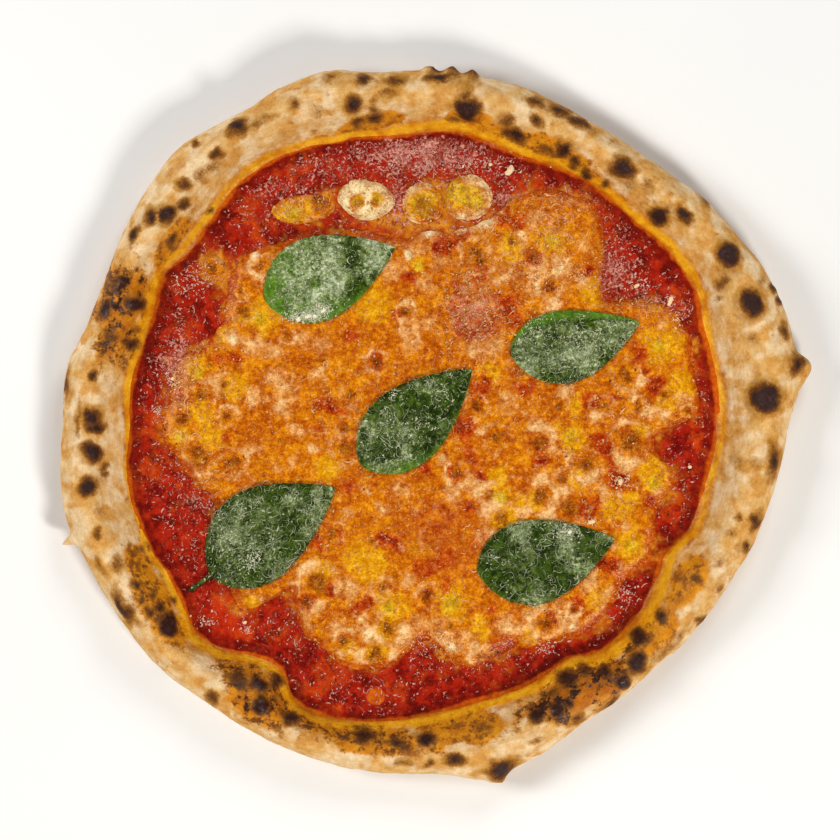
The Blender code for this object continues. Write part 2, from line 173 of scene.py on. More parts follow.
# Baked dough
# One round of wheat dough, pressed thin in the middle and puffed up at the rim in a very hot oven.
# Its bubbles burst and charred, oil from the cheese ran up its inner side, and flour dust is left outside.
MM_IN_M = 1000            # for the scale of a pattern, from its real size in mm
TURN_COLUMNS = 900        # points in each row round the dough
NOMINAL_SAUCE = 120.0     # mm, the sauce edge in the nominal profile
NOMINAL_RIM = 150.0       # mm, the rim's outside in the nominal profile
FLAT_RADIUS = 113.0       # mm, where the flat middle ends in the nominal profile
BASE_TOP = 3.5            # mm, thickness of the flat middle
CROWN_LEAST = 12.0        # mm, height of a rim without width
CROWN_PER_WIDTH = 0.28    # mm of height for each mm of the rim's width
CROWN_NOMINAL = 20.4      # mm, height of the rim in the nominal profile
CROWN_WAVE = 1.7          # mm, how unevenly the rim rose
# The nominal profile from the flat middle over the rim to the underside, as (radius, height) in mm
DOUGH_PROFILE = [
    (106, BASE_TOP), (FLAT_RADIUS, BASE_TOP), (118, 3.9), (122, 5.7), (126, 10.2), (131, 16.0),
    (136.5, 19.8), (141.5, 20.2), (146, 17.4), (149.2, 12.6), (150, 7.6), (147.6, 3.0), (142, 0),
]
PROFILE_ROWS = 78         # points along the profile
LAST_ROWS = 4             # of them, those that turn to the underside
UNDER_ROWS = 22           # rings of points across the underside
UNDER_INNER = 12.0        # mm, radius of the innermost ring of the underside
CHAR_FADE = 2.7           # mm from a char spot's edge to plain crust, and to full black
CHAR_LUMPS = 6.5          # mm, size of the bends in a char spot's edge
CHAR_WANDER = 2.3         # mm, depth of those bends
CHAR_RAGS = 0.9           # mm, depth of the fine rags on them
HALO_WANDER = 2.0         # mm, how unevenly a char spot's halo ends
GRAIN_ROUND = 150.0       # mm, the radius along which the stretched dough's grain runs
GRAIN_LONG = 11.0         # mm, length of a streak of the grain
GRAIN_WIDE = 0.9          # mm, width of a streak
# The rim's outside and the edge of the sauce, each as (degrees, radius in mm)
RIM_OUTLINE = [
    (0, 148), (4, 151.5), (8.5, 156.5), (12, 154), (17, 154), (25, 152), (33, 149), (40, 147), (47, 143.5),
    (60, 142), (68, 143.5), (76, 145.5), (82, 146), (92, 147.5), (100, 149), (107, 154), (115, 154),
    (120, 152.5), (126, 154), (132, 156), (140, 154.5), (147, 152), (157, 149), (163, 149.5), (170, 154),
    (180, 154), (188, 156.5), (195, 157.5), (202, 155), (210, 153.5), (222, 152), (230, 149.5), (240, 148),
    (255, 147), (264, 146), (272, 145.5), (279, 149), (285, 146), (290, 143), (296, 139.5), (303, 138),
    (312, 137), (318, 138.5), (330, 139.5), (337, 141.5), (345, 143.5), (354, 145.5),
]
SAUCE_OUTLINE = [
    (0, 117), (20, 117.5), (28, 121.5), (36, 121), (45, 118.5), (58, 119), (72, 116.3), (80, 119),
    (87, 121.3), (97, 120), (105, 122), (113, 125.5), (124, 128), (132, 126.5), (139, 124), (145, 124),
    (151, 127), (158, 123.8), (166, 124.3), (174, 125.5), (182, 125.5), (189, 127.3), (204, 127.3),
    (210, 125), (216, 127), (221, 130), (227, 126.5), (233, 119.5), (238, 118.5), (243, 126.5),
    (248, 128.3), (254, 127), (262, 123), (270, 119), (279, 115), (290, 113.5), (300, 111), (306, 115.5),
    (316, 115.5), (326, 111.5), (331, 109), (338, 114), (350, 114.5),
]
# Bubbles that stand proud of the rim, as (degrees, radius, half length, half width, height in mm)
BLISTERS = [
    (4.5, 138, 8.2, 7.6, 2.9), (20.8, 141, 6.6, 6.0, 2.5), (29.8, 140.5, 6.6, 5.5, 2.4),
    (53.8, 132.5, 6.0, 5.0, 2.2), (83.8, 132, 6.0, 5.5, 2.2), (123.4, 146.8, 4.8, 4.2, 2.0),
    (141.5, 141, 4.8, 5.0, 2.0), (157.8, 133.5, 5.0, 5.4, 2.0), (184.7, 142, 5.2, 5.2, 2.2),
    (210.5, 147.5, 7.4, 4.0, 2.2), (217, 138, 6.2, 5.2, 2.1), (238.5, 136, 5.5, 5.2, 2.1),
    (280.9, 143.5, 7.0, 4.8, 2.4), (306.5, 131.5, 5.0, 5.5, 2.2), (343.2, 138, 4.4, 4.2, 1.8),
    (354, 140.5, 6.2, 4.0, 2.0),
]
BLISTER_SHOWS = 0.7       # share of a blister's height that shows above the crust
# Tips that stick out of the rim's outer side, as (degrees, radius, half length, half height, reach), in mm
SIDE_BLISTERS = [
    (9.0, 155.5, 4.4, 5.6, 2.6), (83.6, 146.6, 2.6, 3.0, 2.4), (87.0, 147.2, 2.6, 3.0, 2.6),
    (90.6, 147.8, 2.6, 3.0, 2.6), (197.6, 158.0, 1.7, 2.6, 5.6), (280.4, 148.6, 3.4, 3.4, 3.4),
]
SIDE_BLISTER_LEVEL = 9.0  # mm, how high above the underside the tips sit
TIP_DEPTH = 12            # mm, how far inwards of its place a tip still lifts the crust
# The crust's unevenness, from large to fine, as (size of its lumps in mm, height in mm, seed, layers)
CRUST_RELIEF = [(15, 0.75, 31, 3), (4.2, 0.22, 32, 3), (1.4, 0.07, 33, 2)]
CRUST_SHRINK = 0.25       # mm, how far the crust sits back, so that its lumps stay inside the outline
# Char spots seen from above, as (degrees, radius, half size along the rim, half size across it, darkness)
CHAR_SPOTS = [
    (4.5, 138, 6.4, 5.6, 1), (9.3, 152.5, 3.4, 2.6, 1), (15.2, 150.5, 3.5, 2.5, 0.8),
    (15.3, 136.5, 2.5, 2.5, 0.35), (20.8, 141, 5.5, 5, 1), (19.5, 154, 1.5, 1.5, 1),
    (21.7, 153.5, 2, 2, 1), (39.3, 147.5, 2, 2, 0.7), (23.5, 148, 2, 2, 0.35),
    (26.2, 133.5, 2.5, 2.5, 0.6), (24, 129, 1, 1, 0.7), (29.8, 140.5, 5.5, 4.5, 1),
    (39.7, 135, 3.5, 2.5, 1), (42.8, 127.5, 3.5, 3.5, 1), (48.3, 133, 3, 3, 0.35),
    (50.8, 128.5, 2.5, 2.5, 0.35), (53.8, 132.5, 5, 4, 1), (54.3, 123, 1.5, 1.5, 0.8),
    (58.3, 122.5, 2.5, 2.5, 0.9), (64, 139.5, 4.5, 2, 0.9), (68.3, 140.5, 4, 2, 1),
    (72.3, 139.5, 3, 2, 0.8), (71.3, 132.5, 2.5, 1.8, 1), (76.5, 129, 3, 3, 0.6), (64.5, 126, 3.5, 3, 1),
    (67, 123.5, 4, 1.5, 0.7), (61.5, 124, 2.5, 2, 0.9), (74.5, 124, 5, 2.5, 1), (83.8, 132, 5, 4.5, 1),
    (84.2, 137, 1.8, 3, 0.7), (86, 127.5, 2.5, 2, 0.55), (89.2, 144, 4.5, 1.8, 1),
    (83.7, 148.5, 3.2, 3, 1), (86.5, 148.5, 3.2, 3, 1), (89.6, 149.5, 3.6, 3, 1), (96.5, 144, 3, 1.5, 0.9),
    (97.6, 138.5, 2.5, 1.5, 0.6), (100.2, 137, 1.5, 1.3, 0.6), (100.3, 133.5, 1.5, 1.3, 0.6),
    (101.3, 145.5, 2.2, 2, 1), (103.8, 137.8, 3, 3, 1), (100.8, 130, 3, 2, 0.9),
    (103.5, 129, 2.5, 1.5, 0.8), (106.2, 150.5, 2.5, 1.3, 0.55), (109.9, 138, 2, 2, 0.35),
    (113.2, 144.8, 2.2, 2, 0.65), (118, 144, 3, 1.6, 0.5), (120.5, 143.5, 3, 1.6, 0.45),
    (123.4, 146.8, 3.3, 2.8, 1), (128.5, 144, 2.5, 2.5, 0.9), (130.2, 152.8, 1.2, 1.2, 1),
    (130.5, 140, 2.5, 2, 0.5), (133, 140.5, 2.5, 1.6, 0.5), (136, 143.3, 2.3, 2.3, 0.9),
    (138.6, 138, 2.2, 1.8, 0.9), (141.5, 141, 3.2, 3.5, 1), (143.5, 145.5, 2.8, 2.3, 1),
    (147.7, 146.7, 3.2, 2, 1), (144.8, 133, 3.5, 2.5, 0.8), (136, 128.5, 1.5, 1.2, 0.7),
    (156.5, 144.5, 3, 1.5, 1), (155, 141, 3, 3, 1), (160.5, 143.5, 4, 2.5, 1), (157.8, 133.5, 3.5, 4, 1),
    (164.5, 138, 4, 4, 0.6), (164.8, 129.5, 2.5, 2.5, 0.9), (162.4, 129.5, 1.5, 1.5, 0.6),
    (168.3, 141, 1.8, 1.3, 0.8), (171.7, 142, 2.3, 1.6, 1), (173.5, 153, 5, 1.3, 0.7),
    (178.8, 141, 3.5, 3, 1), (179, 147, 4, 0.8, 0.6), (180.3, 139.5, 2.5, 3, 1), (184.7, 142, 3.8, 3.8, 1),
    (190, 144.8, 3.8, 3.8, 1), (187.3, 137.5, 1, 1, 0.8), (188.6, 136.5, 1, 1, 0.8),
    (194.5, 142.5, 2, 2, 0.35), (197.8, 145, 2.2, 1.8, 0.8), (197.7, 162, 3, 3, 1),
    (203, 150, 2, 0.8, 0.7), (203.8, 142, 2.3, 1.8, 0.6), (210.5, 148.3, 6, 2, 1), (208.5, 139, 2, 2, 0.9),
    (211.3, 140.5, 1.8, 1.6, 0.9), (213.5, 140.5, 1.8, 1.6, 0.9), (211.4, 135, 1.8, 1.8, 0.8),
    (213.8, 136, 2, 2, 0.9), (217, 138, 5, 4, 1), (203, 133.5, 1.6, 1.5, 0.6), (203, 129.5, 1.6, 1.5, 0.6),
    (214, 130.5, 1.8, 1.6, 0.7), (231, 145.2, 2.3, 1.6, 0.9), (232.5, 133, 5, 3, 0.8),
    (238.5, 136, 4, 4, 1), (236.5, 129, 4, 3, 1), (238.5, 124.5, 4, 2.5, 0.9), (244.2, 135, 3.5, 2.3, 1),
    (243, 141.5, 2.5, 1.5, 0.5), (240.2, 131, 1.5, 1.5, 0.8), (257.5, 132, 5, 3.5, 0.85),
    (263, 132.5, 5, 2, 0.9), (269, 130, 4, 3.5, 1), (265.3, 140.3, 2, 1.3, 0.7), (269, 140, 1.6, 1.6, 0.8),
    (273.8, 139, 3.8, 2.2, 1), (279, 127, 5, 2, 0.6), (280.9, 144.5, 5.5, 3, 1),
    (280.2, 151.8, 1.2, 1, 0.7), (287.8, 137.8, 2, 1, 0.6), (289.5, 127.5, 3.2, 2.8, 1),
    (293.5, 128.5, 3.5, 3, 1), (296, 128.2, 2.5, 3, 1), (293.8, 121.5, 4, 2, 0.8), (298, 119, 5, 4, 0.9),
    (301.5, 120, 3, 3, 0.8), (296.3, 135.7, 2.5, 1.3, 0.8), (302.5, 137.5, 3, 1, 0.8),
    (306.5, 132, 3.5, 4, 1), (305, 124.5, 2.5, 3, 0.9), (310.8, 129.5, 5, 4, 1), (314.2, 123.5, 4, 4, 0.9),
    (320, 124, 2.3, 2.3, 0.9), (323.8, 138, 2, 1.6, 1), (315.5, 134.5, 3, 1, 0.5),
    (319, 135.5, 3, 1.5, 0.45), (329.7, 126, 1.5, 3, 0.8), (330, 137, 1.5, 1, 0.6),
    (338.7, 139.5, 2.3, 1.6, 0.9), (343.2, 139, 2.8, 2, 1), (343, 132.5, 2.2, 2, 0.6),
    (334.5, 131, 1.8, 1.6, 0.4), (340, 131, 1.8, 1.6, 0.4), (354, 141.5, 5, 2, 1),
    (353.5, 135, 2, 1.6, 0.4), (353, 127, 2, 1.6, 0.4),
]
BAND_UNDER = 9.0          # mm, how far the golden band runs in under the sauce
# Width of the golden band where oil climbed out of the sauce, as (degrees, mm)
OIL_BAND = [
    (0, 4.6), (20, 4.6), (45, 4.2), (70, 5.0), (90, 5.2), (110, 3.6), (135, 4.4), (150, 4.6), (163, 5.2),
    (176, 2.8), (195, 2.4), (208, 3.4), (222, 4.6), (240, 5.2), (256, 4.4), (272, 4.8), (288, 5.4),
    (305, 6.4), (320, 7.0), (334, 4.8), (346, 4.6),
]
# Stretches where oil soaked in and the crust scorched in speckles, as (degrees, half width in degrees,
# inner and outer radius in mm, scorching)
OILY_STRETCHES = [
    (160, 9, 129, 147, 0.8), (146, 6, 129, 136, 0.4), (212, 10, 130, 142, 0.5), (237, 9, 124, 142, 0.75),
    (258, 12, 126, 138, 0.55), (275, 9, 120, 131, 0.4), (299, 13, 116, 133, 1.0), (316, 8, 118, 131, 0.4),
    (68, 11, 121, 128, 0.45), (102, 7, 125, 131, 0.3), (328, 7, 116, 130, 0.35), (84, 5, 124, 130, 0.2),
]


def smoothstep(low, high, value):
    """Rises softly from 0 where the value is low to 1 where it is high."""
    share = np.clip((value - low) / (high - low), 0, 1)
    return share * share * (3 - 2 * share)


def round_outline(points):
    """A smooth closed curve through (degrees, radius) points, as a function of angles in degrees."""
    angles = np.array([a for a, _ in points], float)
    radii = np.array([r for _, r in points], float)
    after = np.append(angles[1:], angles[0] + 360)

    def radius(angle):
        angle = (np.asarray(angle, float) - angles[0]) % 360 + angles[0]
        i = np.clip(np.searchsorted(angles, angle, side="right") - 1, 0, len(angles) - 1)
        t = (angle - angles[i]) / (after[i] - angles[i])
        p0, p1, p2, p3 = (radii[(i + k) % len(radii)] for k in (-1, 0, 1, 2))
        bend = 2 * p0 - 5 * p1 + 4 * p2 - p3 + (3 * p1 - p0 - 3 * p2 + p3) * t
        return p1 + 0.5 * t * (p2 - p0 + t * bend)

    return radius


def ring_wave(seed, waves):
    """Uneven rising round the rim: a few seeded cosines of the angle."""
    rng = random.Random(seed)
    parts = [(k, rng.uniform(0, 360), rng.uniform(0.5, 1.0)) for k in waves]
    whole = sum(size for _, _, size in parts)
    return lambda angle: 1.7 * sum(s * np.cos(np.radians(k * angle + p)) for k, p, s in parts) / whole


def plane_wave(seed, length, count=9):
    """Uneven melting over the top: seeded waves about length mm long."""
    rng = random.Random(seed)
    parts = []
    for _ in range(count):
        turn = rng.uniform(0, math.tau)
        pitch = math.tau / (length * rng.uniform(0.7, 1.5))
        parts.append((pitch * math.cos(turn), pitch * math.sin(turn), rng.uniform(0, math.tau)))
    return lambda x, y: 1.8 * sum(np.sin(a * x + b * y + c) for a, b, c in parts) / count


def lumps(points, size, seed):
    """A smooth random value between -1 and 1 at each point, in lumps about size mm across."""
    scaled = points / size + seed * 17.31
    cell = np.floor(scaled).astype(np.int64)
    part = scaled - cell
    part = part * part * (3 - 2 * part)
    total = np.zeros(len(points))
    for corner in range(8):
        offset = np.array([corner & 1, corner >> 1 & 1, corner >> 2 & 1])
        key = (cell + offset) @ np.array([73856093, 19349663, 83492791]) + seed * 961748927
        key = (key ^ (key >> 13)) * 1274126177 & 0x7FFFFFFF
        key = (key ^ (key >> 15)) * 668265263 & 0x7FFFFFFF
        value = (key % 65521) / 32760.5 - 1
        total += value * np.prod(np.where(offset, part, 1 - part), axis=1)
    return total


def crags(points, size, seed, layers=3):
    """Lumps with finer lumps on them, each layer half as large and half as strong."""
    return sum(lumps(points, size / 2**k, seed + k) / 2**k for k in range(layers)) / (2 - 2 ** (1 - layers))


rim_radius = round_outline(RIM_OUTLINE)
sauce_radius = round_outline(SAUCE_OUTLINE)
crown_wave = ring_wave(11, (3, 5, 8, 13, 19))


def on_round(nominal, angle, level):
    """Carries points of the nominal profile to the real round: their radius and height in mm."""
    inner = sauce_radius(angle)
    outer = rim_radius(angle)
    crown = CROWN_LEAST + CROWN_PER_WIDTH * (outer - inner) + CROWN_WAVE * crown_wave(angle)
    share = (nominal - NOMINAL_SAUCE) / (NOMINAL_RIM - NOMINAL_SAUCE)
    radius = np.where(
        nominal <= NOMINAL_SAUCE, nominal * inner / NOMINAL_SAUCE, inner + share * (outer - inner))
    lift = smoothstep(FLAT_RADIUS, NOMINAL_SAUCE, nominal) * (crown / CROWN_NOMINAL - 1)
    return radius, np.where(level > BASE_TOP, BASE_TOP + (level - BASE_TOP) * (1 + lift), level)


def smooth_line(points, count):
    """count points spaced evenly along a smooth curve through the given ones."""
    points = np.array(points, float)
    reach = np.append(0, np.cumsum(np.hypot(*np.diff(points, axis=0).T)))
    slope = np.gradient(points, reach, axis=0)
    at = np.linspace(0, reach[-1], count)
    i = np.clip(np.searchsorted(reach, at, side="right") - 1, 0, len(points) - 2)
    span = (reach[i + 1] - reach[i])[:, None]
    t = ((at - reach[i]) / span[:, 0])[:, None]
    return (
        points[i] * (1 + 2 * t) * (1 - t) ** 2 + slope[i] * span * t * (1 - t) ** 2
        + points[i + 1] * t * t * (3 - 2 * t) + slope[i + 1] * span * t * t * (t - 1)
    )


def turned_grid(profile, angles):
    """Rows of points, one for each point of a nominal profile, each row running once round."""
    nominal, level = np.array(profile, float).T
    radius, height = on_round(nominal[:, None], angles[None, :], level[:, None] + 0 * angles[None, :])
    turn = np.radians(angles)[None, :]
    return np.stack([radius * np.cos(turn), radius * np.sin(turn), height], axis=2)


def grid_normals(grid):
    """Outward unit normals of a grid whose rows run round and follow each other outwards."""
    across = np.gradient(grid, axis=0)
    around = np.roll(grid, -1, axis=1) - np.roll(grid, 1, axis=1)
    normal = np.cross(across, around)
    return normal / np.maximum(np.linalg.norm(normal, axis=2, keepdims=True), 1e-9)


def ring_faces(rows, columns, first=0):
    """Four-sided faces between neighbouring rows that close on themselves."""
    row, column = np.meshgrid(np.arange(rows - 1), np.arange(columns), indexing="ij")
    after = (column + 1) % columns
    a = first + row * columns
    faces = np.stack([a + column, a + columns + column, a + columns + after, a + after], axis=2)
    return faces.reshape(-1, 4).tolist()


def fan_faces(middle, ring, flip):
    """Three-sided faces from a middle point to a closed ring of points."""
    after = np.roll(ring, -1)
    pairs = zip(ring.tolist(), after.tolist())
    return [(middle, b, a) if flip else (middle, a, b) for a, b in pairs]


def closed_faces(rows, columns, first=0):
    """Faces of a round of rows, closed by the two points that follow it: first the upper, then the lower."""
    size = first + rows * columns
    ring = first + np.arange(columns)
    faces = ring_faces(rows, columns, first)
    faces += fan_faces(size, ring, False)
    faces += fan_faces(size + 1, ring + (rows - 1) * columns, True)
    return faces


def add_piece(name, points, faces, finish, values=None, smooth=True):
    """Makes an object from points in mm, with a named value at each point, riding on the one body."""
    mesh = bpy.data.meshes.new(name)
    mesh.from_pydata((np.asarray(points) * MM).tolist(), [], faces)
    for key, numbers in (values or {}).items():
        numbers = np.asarray(numbers, np.float32)
        vector = numbers.ndim == 2
        layer = mesh.attributes.new(key, "FLOAT_VECTOR" if vector else "FLOAT", "POINT")
        layer.data.foreach_set("vector" if vector else "value", numbers.ravel())
    if smooth:
        mesh.shade_smooth()
    mesh.materials.append(finish)
    mesh.validate()
    piece = bpy.data.objects.new(name, mesh)
    scene.collection.objects.link(piece)
    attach(piece, "root")
    return piece


def degrees_apart(angle, other):
    """The turn in degrees from one direction to another, the short way round."""
    return (angle - other + 180) % 360 - 180


def spot_distance(angle, radius, spot_angle, spot_radius, along, across):
    """How far points lie from a spot on the rim, in half sizes of the spot."""
    sideways = np.radians(degrees_apart(angle, spot_angle)) * radius
    return np.hypot(sideways / along, (radius - spot_radius) / across)


def painted_grain_light_and_shade(tree, tone, fine, depth):
    """Painted fine light and shade over a tone: paler, as if lit, where the fine pattern is high, and
    deeper, as if shaded, where it is low.
    """
    bend = add(tree, "MapRange", {
        "Value": fine, "From Min": 0.38, "From Max": 0.62, "To Min": 1 + depth, "To Max": 1 - depth})
    gain = add(tree, "MapRange", {
        "Value": fine, "From Min": 0.38, "From Max": 0.62,
        "To Min": 1 - 0.75 * depth, "To Max": 1 + 0.75 * depth})
    bent = add(tree, "Gamma", {"Color": tone, "Gamma": bend})
    return add(tree, "VectorMath", {0: bent, "Scale": gain}, operation="SCALE")


def baked_crust():
    """Floured wheat crust, dry and matt: cream to tan in clouds and fine streaks, amber where oil soaked in.

    Char is a dull purple-black with a fuzzy olive-brown edge, and each bubble keeps a faint sheen.
    """
    finish, tree, shader = new_finish("baked_wheat_crust", ior=1.45, specular_ior_level=0.18)
    place = add(tree, "TexCoord", out="Object")
    way = add(tree, "Attribute", out="Vector", attribute_name="grain_way")
    char, halo, oil, band, seep, toast, scorch = (
        add(tree, "Attribute", out="Fac", attribute_name=name)
        for name in ("char", "halo", "oil", "band", "seep", "toast", "scorch"))
    cloud, patch, speck, fleck, grit = (
        add(tree, "TexNoise", {"Vector": place, "Scale": MM_IN_M / size, "Detail": 3.0, "Roughness": 0.62})
        for size in (14.0, 6.0, 2.8, 1.6, 0.9))
    grain = add(tree, "TexNoise", {
        "Vector": place, "Scale": MM_IN_M / 5.0, "Detail": 5.0, "Roughness": 0.85})
    streak = add(tree, "TexNoise", {"Vector": way, "Scale": 1.0, "Detail": 3.0, "Roughness": 0.6})
    blotch = add(tree, "TexNoise", {
        "Vector": place, "Scale": MM_IN_M / 8.0, "Detail": 1.0, "Distortion": 0.4})
    tone, _ = wash(
        tree, "d6a662", "e4c496", 0.44, 0.58, (cloud, 0.4), (blotch, 0.4), (streak, 0.2), (toast, -0.04))
    tone, _ = wash(tree, tone, "ecd6ae", 0.53, 0.68, (speck, 0.3), (cloud, 0.35), (streak, 0.35), most=0.6)
    tone, _ = wash(
        tree, tone, "cc8c3a", 0.46, 0.6, (blotch, -0.7), (patch, 0.45), (toast, 0.05), (1.0, 0.58),
        most=0.68)
    tone, _ = wash(tree, tone, "c08c48", 0.57, 0.72, (streak, 1), most=0.3)
    tone, _ = wash(tree, tone, "a0641c", 0.6, 0.72, (patch, 0.7), (speck, 0.3), (toast, 0.06), most=0.65)
    tone, _ = wash(tree, tone, "b27a28", 0.4, 1.15, (halo, 1.0), (patch, 0.3), (speck, 0.2), most=0.8)
    amber, _ = wash(tree, "cf8412", "ac5a08", 0.47, 0.62, (patch, 0.5), (speck, 0.5))
    amber, _ = wash(tree, amber, "9c4806", 0.55, 1.15, (scorch, 0.8), (patch, 0.5), most=0.8)
    tone, soaked = wash(tree, tone, amber, 0.85, 1.4, (oil, 1.2), (patch, 0.5), (fleck, 0.4))
    gold, _ = wash(tree, "e6a31a", "d48408", 0.45, 0.62, (cloud, 0.5), (patch, 0.5))
    gold, _ = wash(tree, gold, "b86206", 0.4, 1.05, (seep, 0.8), (patch, 0.4))
    tone, climbed = wash(tree, tone, gold, 0.5, 0.9, (band, 1.0), (speck, 0.4))
    # Fine painted light and shade over the crust: paler specks stand for tiny highlights, deeper ones for
    # shade in pits
    tone = painted_grain_light_and_shade(tree, tone, grain, 0.13)
    burst = add(tree, "MapRange", {
        "Value": weigh(tree, (patch, 0.6), (speck, 0.25), (grit, 0.15)),
        "From Min": 0.47, "From Max": 0.57})
    burnt = add(tree, "Math", {0: burst, 1: scorch}, operation="MULTIPLY")
    dark = add(tree, "Math", {0: char, 1: burnt}, operation="MAXIMUM")
    around = ((dark, 1), (speck, 0.55), (grit, 0.55))
    tone, _ = wash(tree, tone, "8f5818", 0.62, 0.98, *around, most=0.8)
    tone, _ = wash(tree, tone, "643a14", 0.84, 1.2, *around)
    tone, black = wash(tree, tone, "301a15", 1.12, 1.48, *around)
    tone, _ = wash(tree, tone, "4c3432", 1.5, 1.68, *around, most=0.6)
    tree.links.new(tone, shader.inputs["Base Color"])
    gloss = add(tree, "MapRange", {
        "Value": weigh(tree, (soaked, 0.6), (climbed, 0.9), (black, 0.5)), "To Min": 0.85, "To Max": 0.34})
    tree.links.new(gloss, shader.inputs["Roughness"])
    bump_speck, bump_patch = (
        add(tree, "TexNoise", {"Vector": place, "Scale": MM_IN_M / size, "Detail": 1.0})
        for size in (1.5, 5.0))
    height = weigh(tree, (bump_speck, 0.7), (bump_patch, 0.8), (streak, 0.3))
    bump = add(tree, "Bump", {"Height": height, "Strength": 0.5, "Distance": 0.9 * MM})
    tree.links.new(bump, shader.inputs["Normal"])
    return finish


angles = np.arange(TURN_COLUMNS) * 360 / TURN_COLUMNS
rim_line = smooth_line(DOUGH_PROFILE, PROFILE_ROWS)
under_line = np.column_stack([
    np.linspace(DOUGH_PROFILE[-1][0], UNDER_INNER, UNDER_ROWS)[1:], np.zeros(UNDER_ROWS - 1)])
grid = turned_grid(np.vstack([rim_line, under_line]), angles)
normal = grid_normals(grid)
rows = len(grid)
flat = grid.reshape(-1, 3)
turn = np.degrees(np.arctan2(flat[:, 1], flat[:, 0])) % 360
reach = np.hypot(flat[:, 0], flat[:, 1])
# Where the rim is, where its upper side is, and where it rises from the sauce, each from 0 to 1
on_rim = (np.repeat(np.arange(rows), TURN_COLUMNS) < PROFILE_ROWS - LAST_ROWS).astype(float)
top = on_rim * smoothstep(4.0, 9.0, flat[:, 2] + 8 * (reach < sauce_radius(turn) + 8))
inner_slope = smoothstep(1.5, 7.0, reach - sauce_radius(turn))

# The grain runs round the rim in long streaks, and its lines follow each other down the profile
row_gap = np.linalg.norm(np.diff(grid, axis=0, prepend=grid[:1]), axis=2)
down = np.cumsum(row_gap, axis=0).ravel()
along_grain = GRAIN_ROUND / GRAIN_LONG
grain_way = np.column_stack([
    along_grain * np.cos(np.radians(turn)), along_grain * np.sin(np.radians(turn)), down / GRAIN_WIDE])

# Char spots, each with a ragged edge and a browned halo
ragged = crags(flat, 3.2, 3, 3)
mm_per_degree = np.radians(1) * NOMINAL_RIM
spot_turn = turn + CHAR_WANDER * crags(flat, CHAR_LUMPS, 4) / mm_per_degree
spot_reach = reach + CHAR_WANDER * crags(flat, CHAR_LUMPS, 6)
char = np.zeros(len(flat))
halo = np.zeros(len(flat))
for spot_angle, spot_radius, along, across, dark in CHAR_SPOTS:
    apart = spot_distance(spot_turn, spot_reach, spot_angle, spot_radius, along, across)
    beyond = (apart - 0.95) * min(along, across) + CHAR_RAGS * ragged
    char = np.maximum(char, smoothstep(CHAR_FADE, -CHAR_FADE, beyond) * dark)
    halo_reach = 1.6 + 0.75 * min(along, across)
    browned = smoothstep(halo_reach, 0.0, beyond + HALO_WANDER * crags(flat, 8.0, 8, 2))
    halo = np.maximum(halo, browned * (0.35 + 0.65 * dark))
char *= top
halo *= top

# The golden band above the sauce, the red that seeps into its foot, and the oil that soaked in beyond it
from_sauce = reach - sauce_radius(turn)
near_sauce = from_sauce > -BAND_UNDER
band_width = round_outline(OIL_BAND)(turn)
band_share = (from_sauce + 1.2 * crags(flat, 9, 5) + 0.4 * crags(flat, 2.5, 7, 2)) / band_width
band = smoothstep(1.5, 0.55, band_share) * near_sauce
seep = smoothstep(0.9, 0.15, band_share) * smoothstep(2.5, 4.6, band_width)
oil = smoothstep(1.9, 1.1, band_share) * near_sauce * 0.6

# Oily stretches, scorched in speckles
scorch = np.zeros(len(flat))
for middle, half, inner, outer, burnt in OILY_STRETCHES:
    sideways = np.abs(degrees_apart(turn, middle)) / half
    deep = np.abs(reach - (inner + outer) / 2) / ((outer - inner) / 2)
    patch = smoothstep(1.5, 0.6, np.hypot(sideways, deep * 0.9) + 0.6 * crags(flat, 9, 9)) * top
    oil = np.maximum(oil, patch)
    scorch = np.maximum(scorch, patch * burnt)
scorch *= smoothstep(0.5, 1.2, band_share)

# The outer side and the underside are toasted and spotted, and one side of the oven toasted more
outside = np.maximum(1 - top, 0)
side_char = smoothstep(0.42, 0.62, crags(flat, 6.5, 21)) * outside
char = np.maximum(char, side_char * 0.9)
toast = 0.5 + 0.5 * np.cos(np.radians(turn - 62)) + 0.7 * crags(flat, 22, 13)
toast = np.clip(toast * 0.6 + 0.5 * outside, 0, 1.3)

# Relief: unevenness, blisters, swollen char spots, pits in the scorched stretches and tips at the side
relief = sum(height * crags(flat, size, seed, layers) for size, height, seed, layers in CRUST_RELIEF)
relief = relief - CRUST_SHRINK
relief *= on_rim * inner_slope
for spot_angle, spot_radius, along, across, height in BLISTERS:
    apart = spot_distance(turn, reach, spot_angle, spot_radius, along, across)
    relief += BLISTER_SHOWS * height * np.clip(1 - apart**2, 0, 1) ** 0.8 * top
for spot_angle, spot_radius, along, across, dark in CHAR_SPOTS:
    if dark > 0.7 and along < 4.6:
        apart = spot_distance(turn, reach, spot_angle, spot_radius, along, across)
        relief += 0.16 * min(along, across) * np.clip(1 - apart**2, 0, 1) * top
relief -= 0.3 * scorch * smoothstep(0.0, 0.5, crags(flat, 3.0, 41))
for spot_angle, spot_radius, along, level, height in SIDE_BLISTERS:
    sideways = np.radians(degrees_apart(turn, spot_angle)) * reach
    near = np.exp(-(sideways / along) ** 2 - ((flat[:, 2] - SIDE_BLISTER_LEVEL) / (level + 1.5)) ** 2)
    relief += height * near * on_rim * (reach > spot_radius - TIP_DEPTH)
shaped = flat + normal.reshape(-1, 3) * relief[:, None]
under = np.maximum(0, crags(flat, 8, 51)) * 0.5 * smoothstep(0.5, 0.0, flat[:, 2]) * (1 - on_rim)
shaped[:, 2] = np.maximum(shaped[:, 2] + under, 0)
low, high = (np.array(corner) / MM for corner in cad_box)
shaped = np.clip(shaped, low, high)

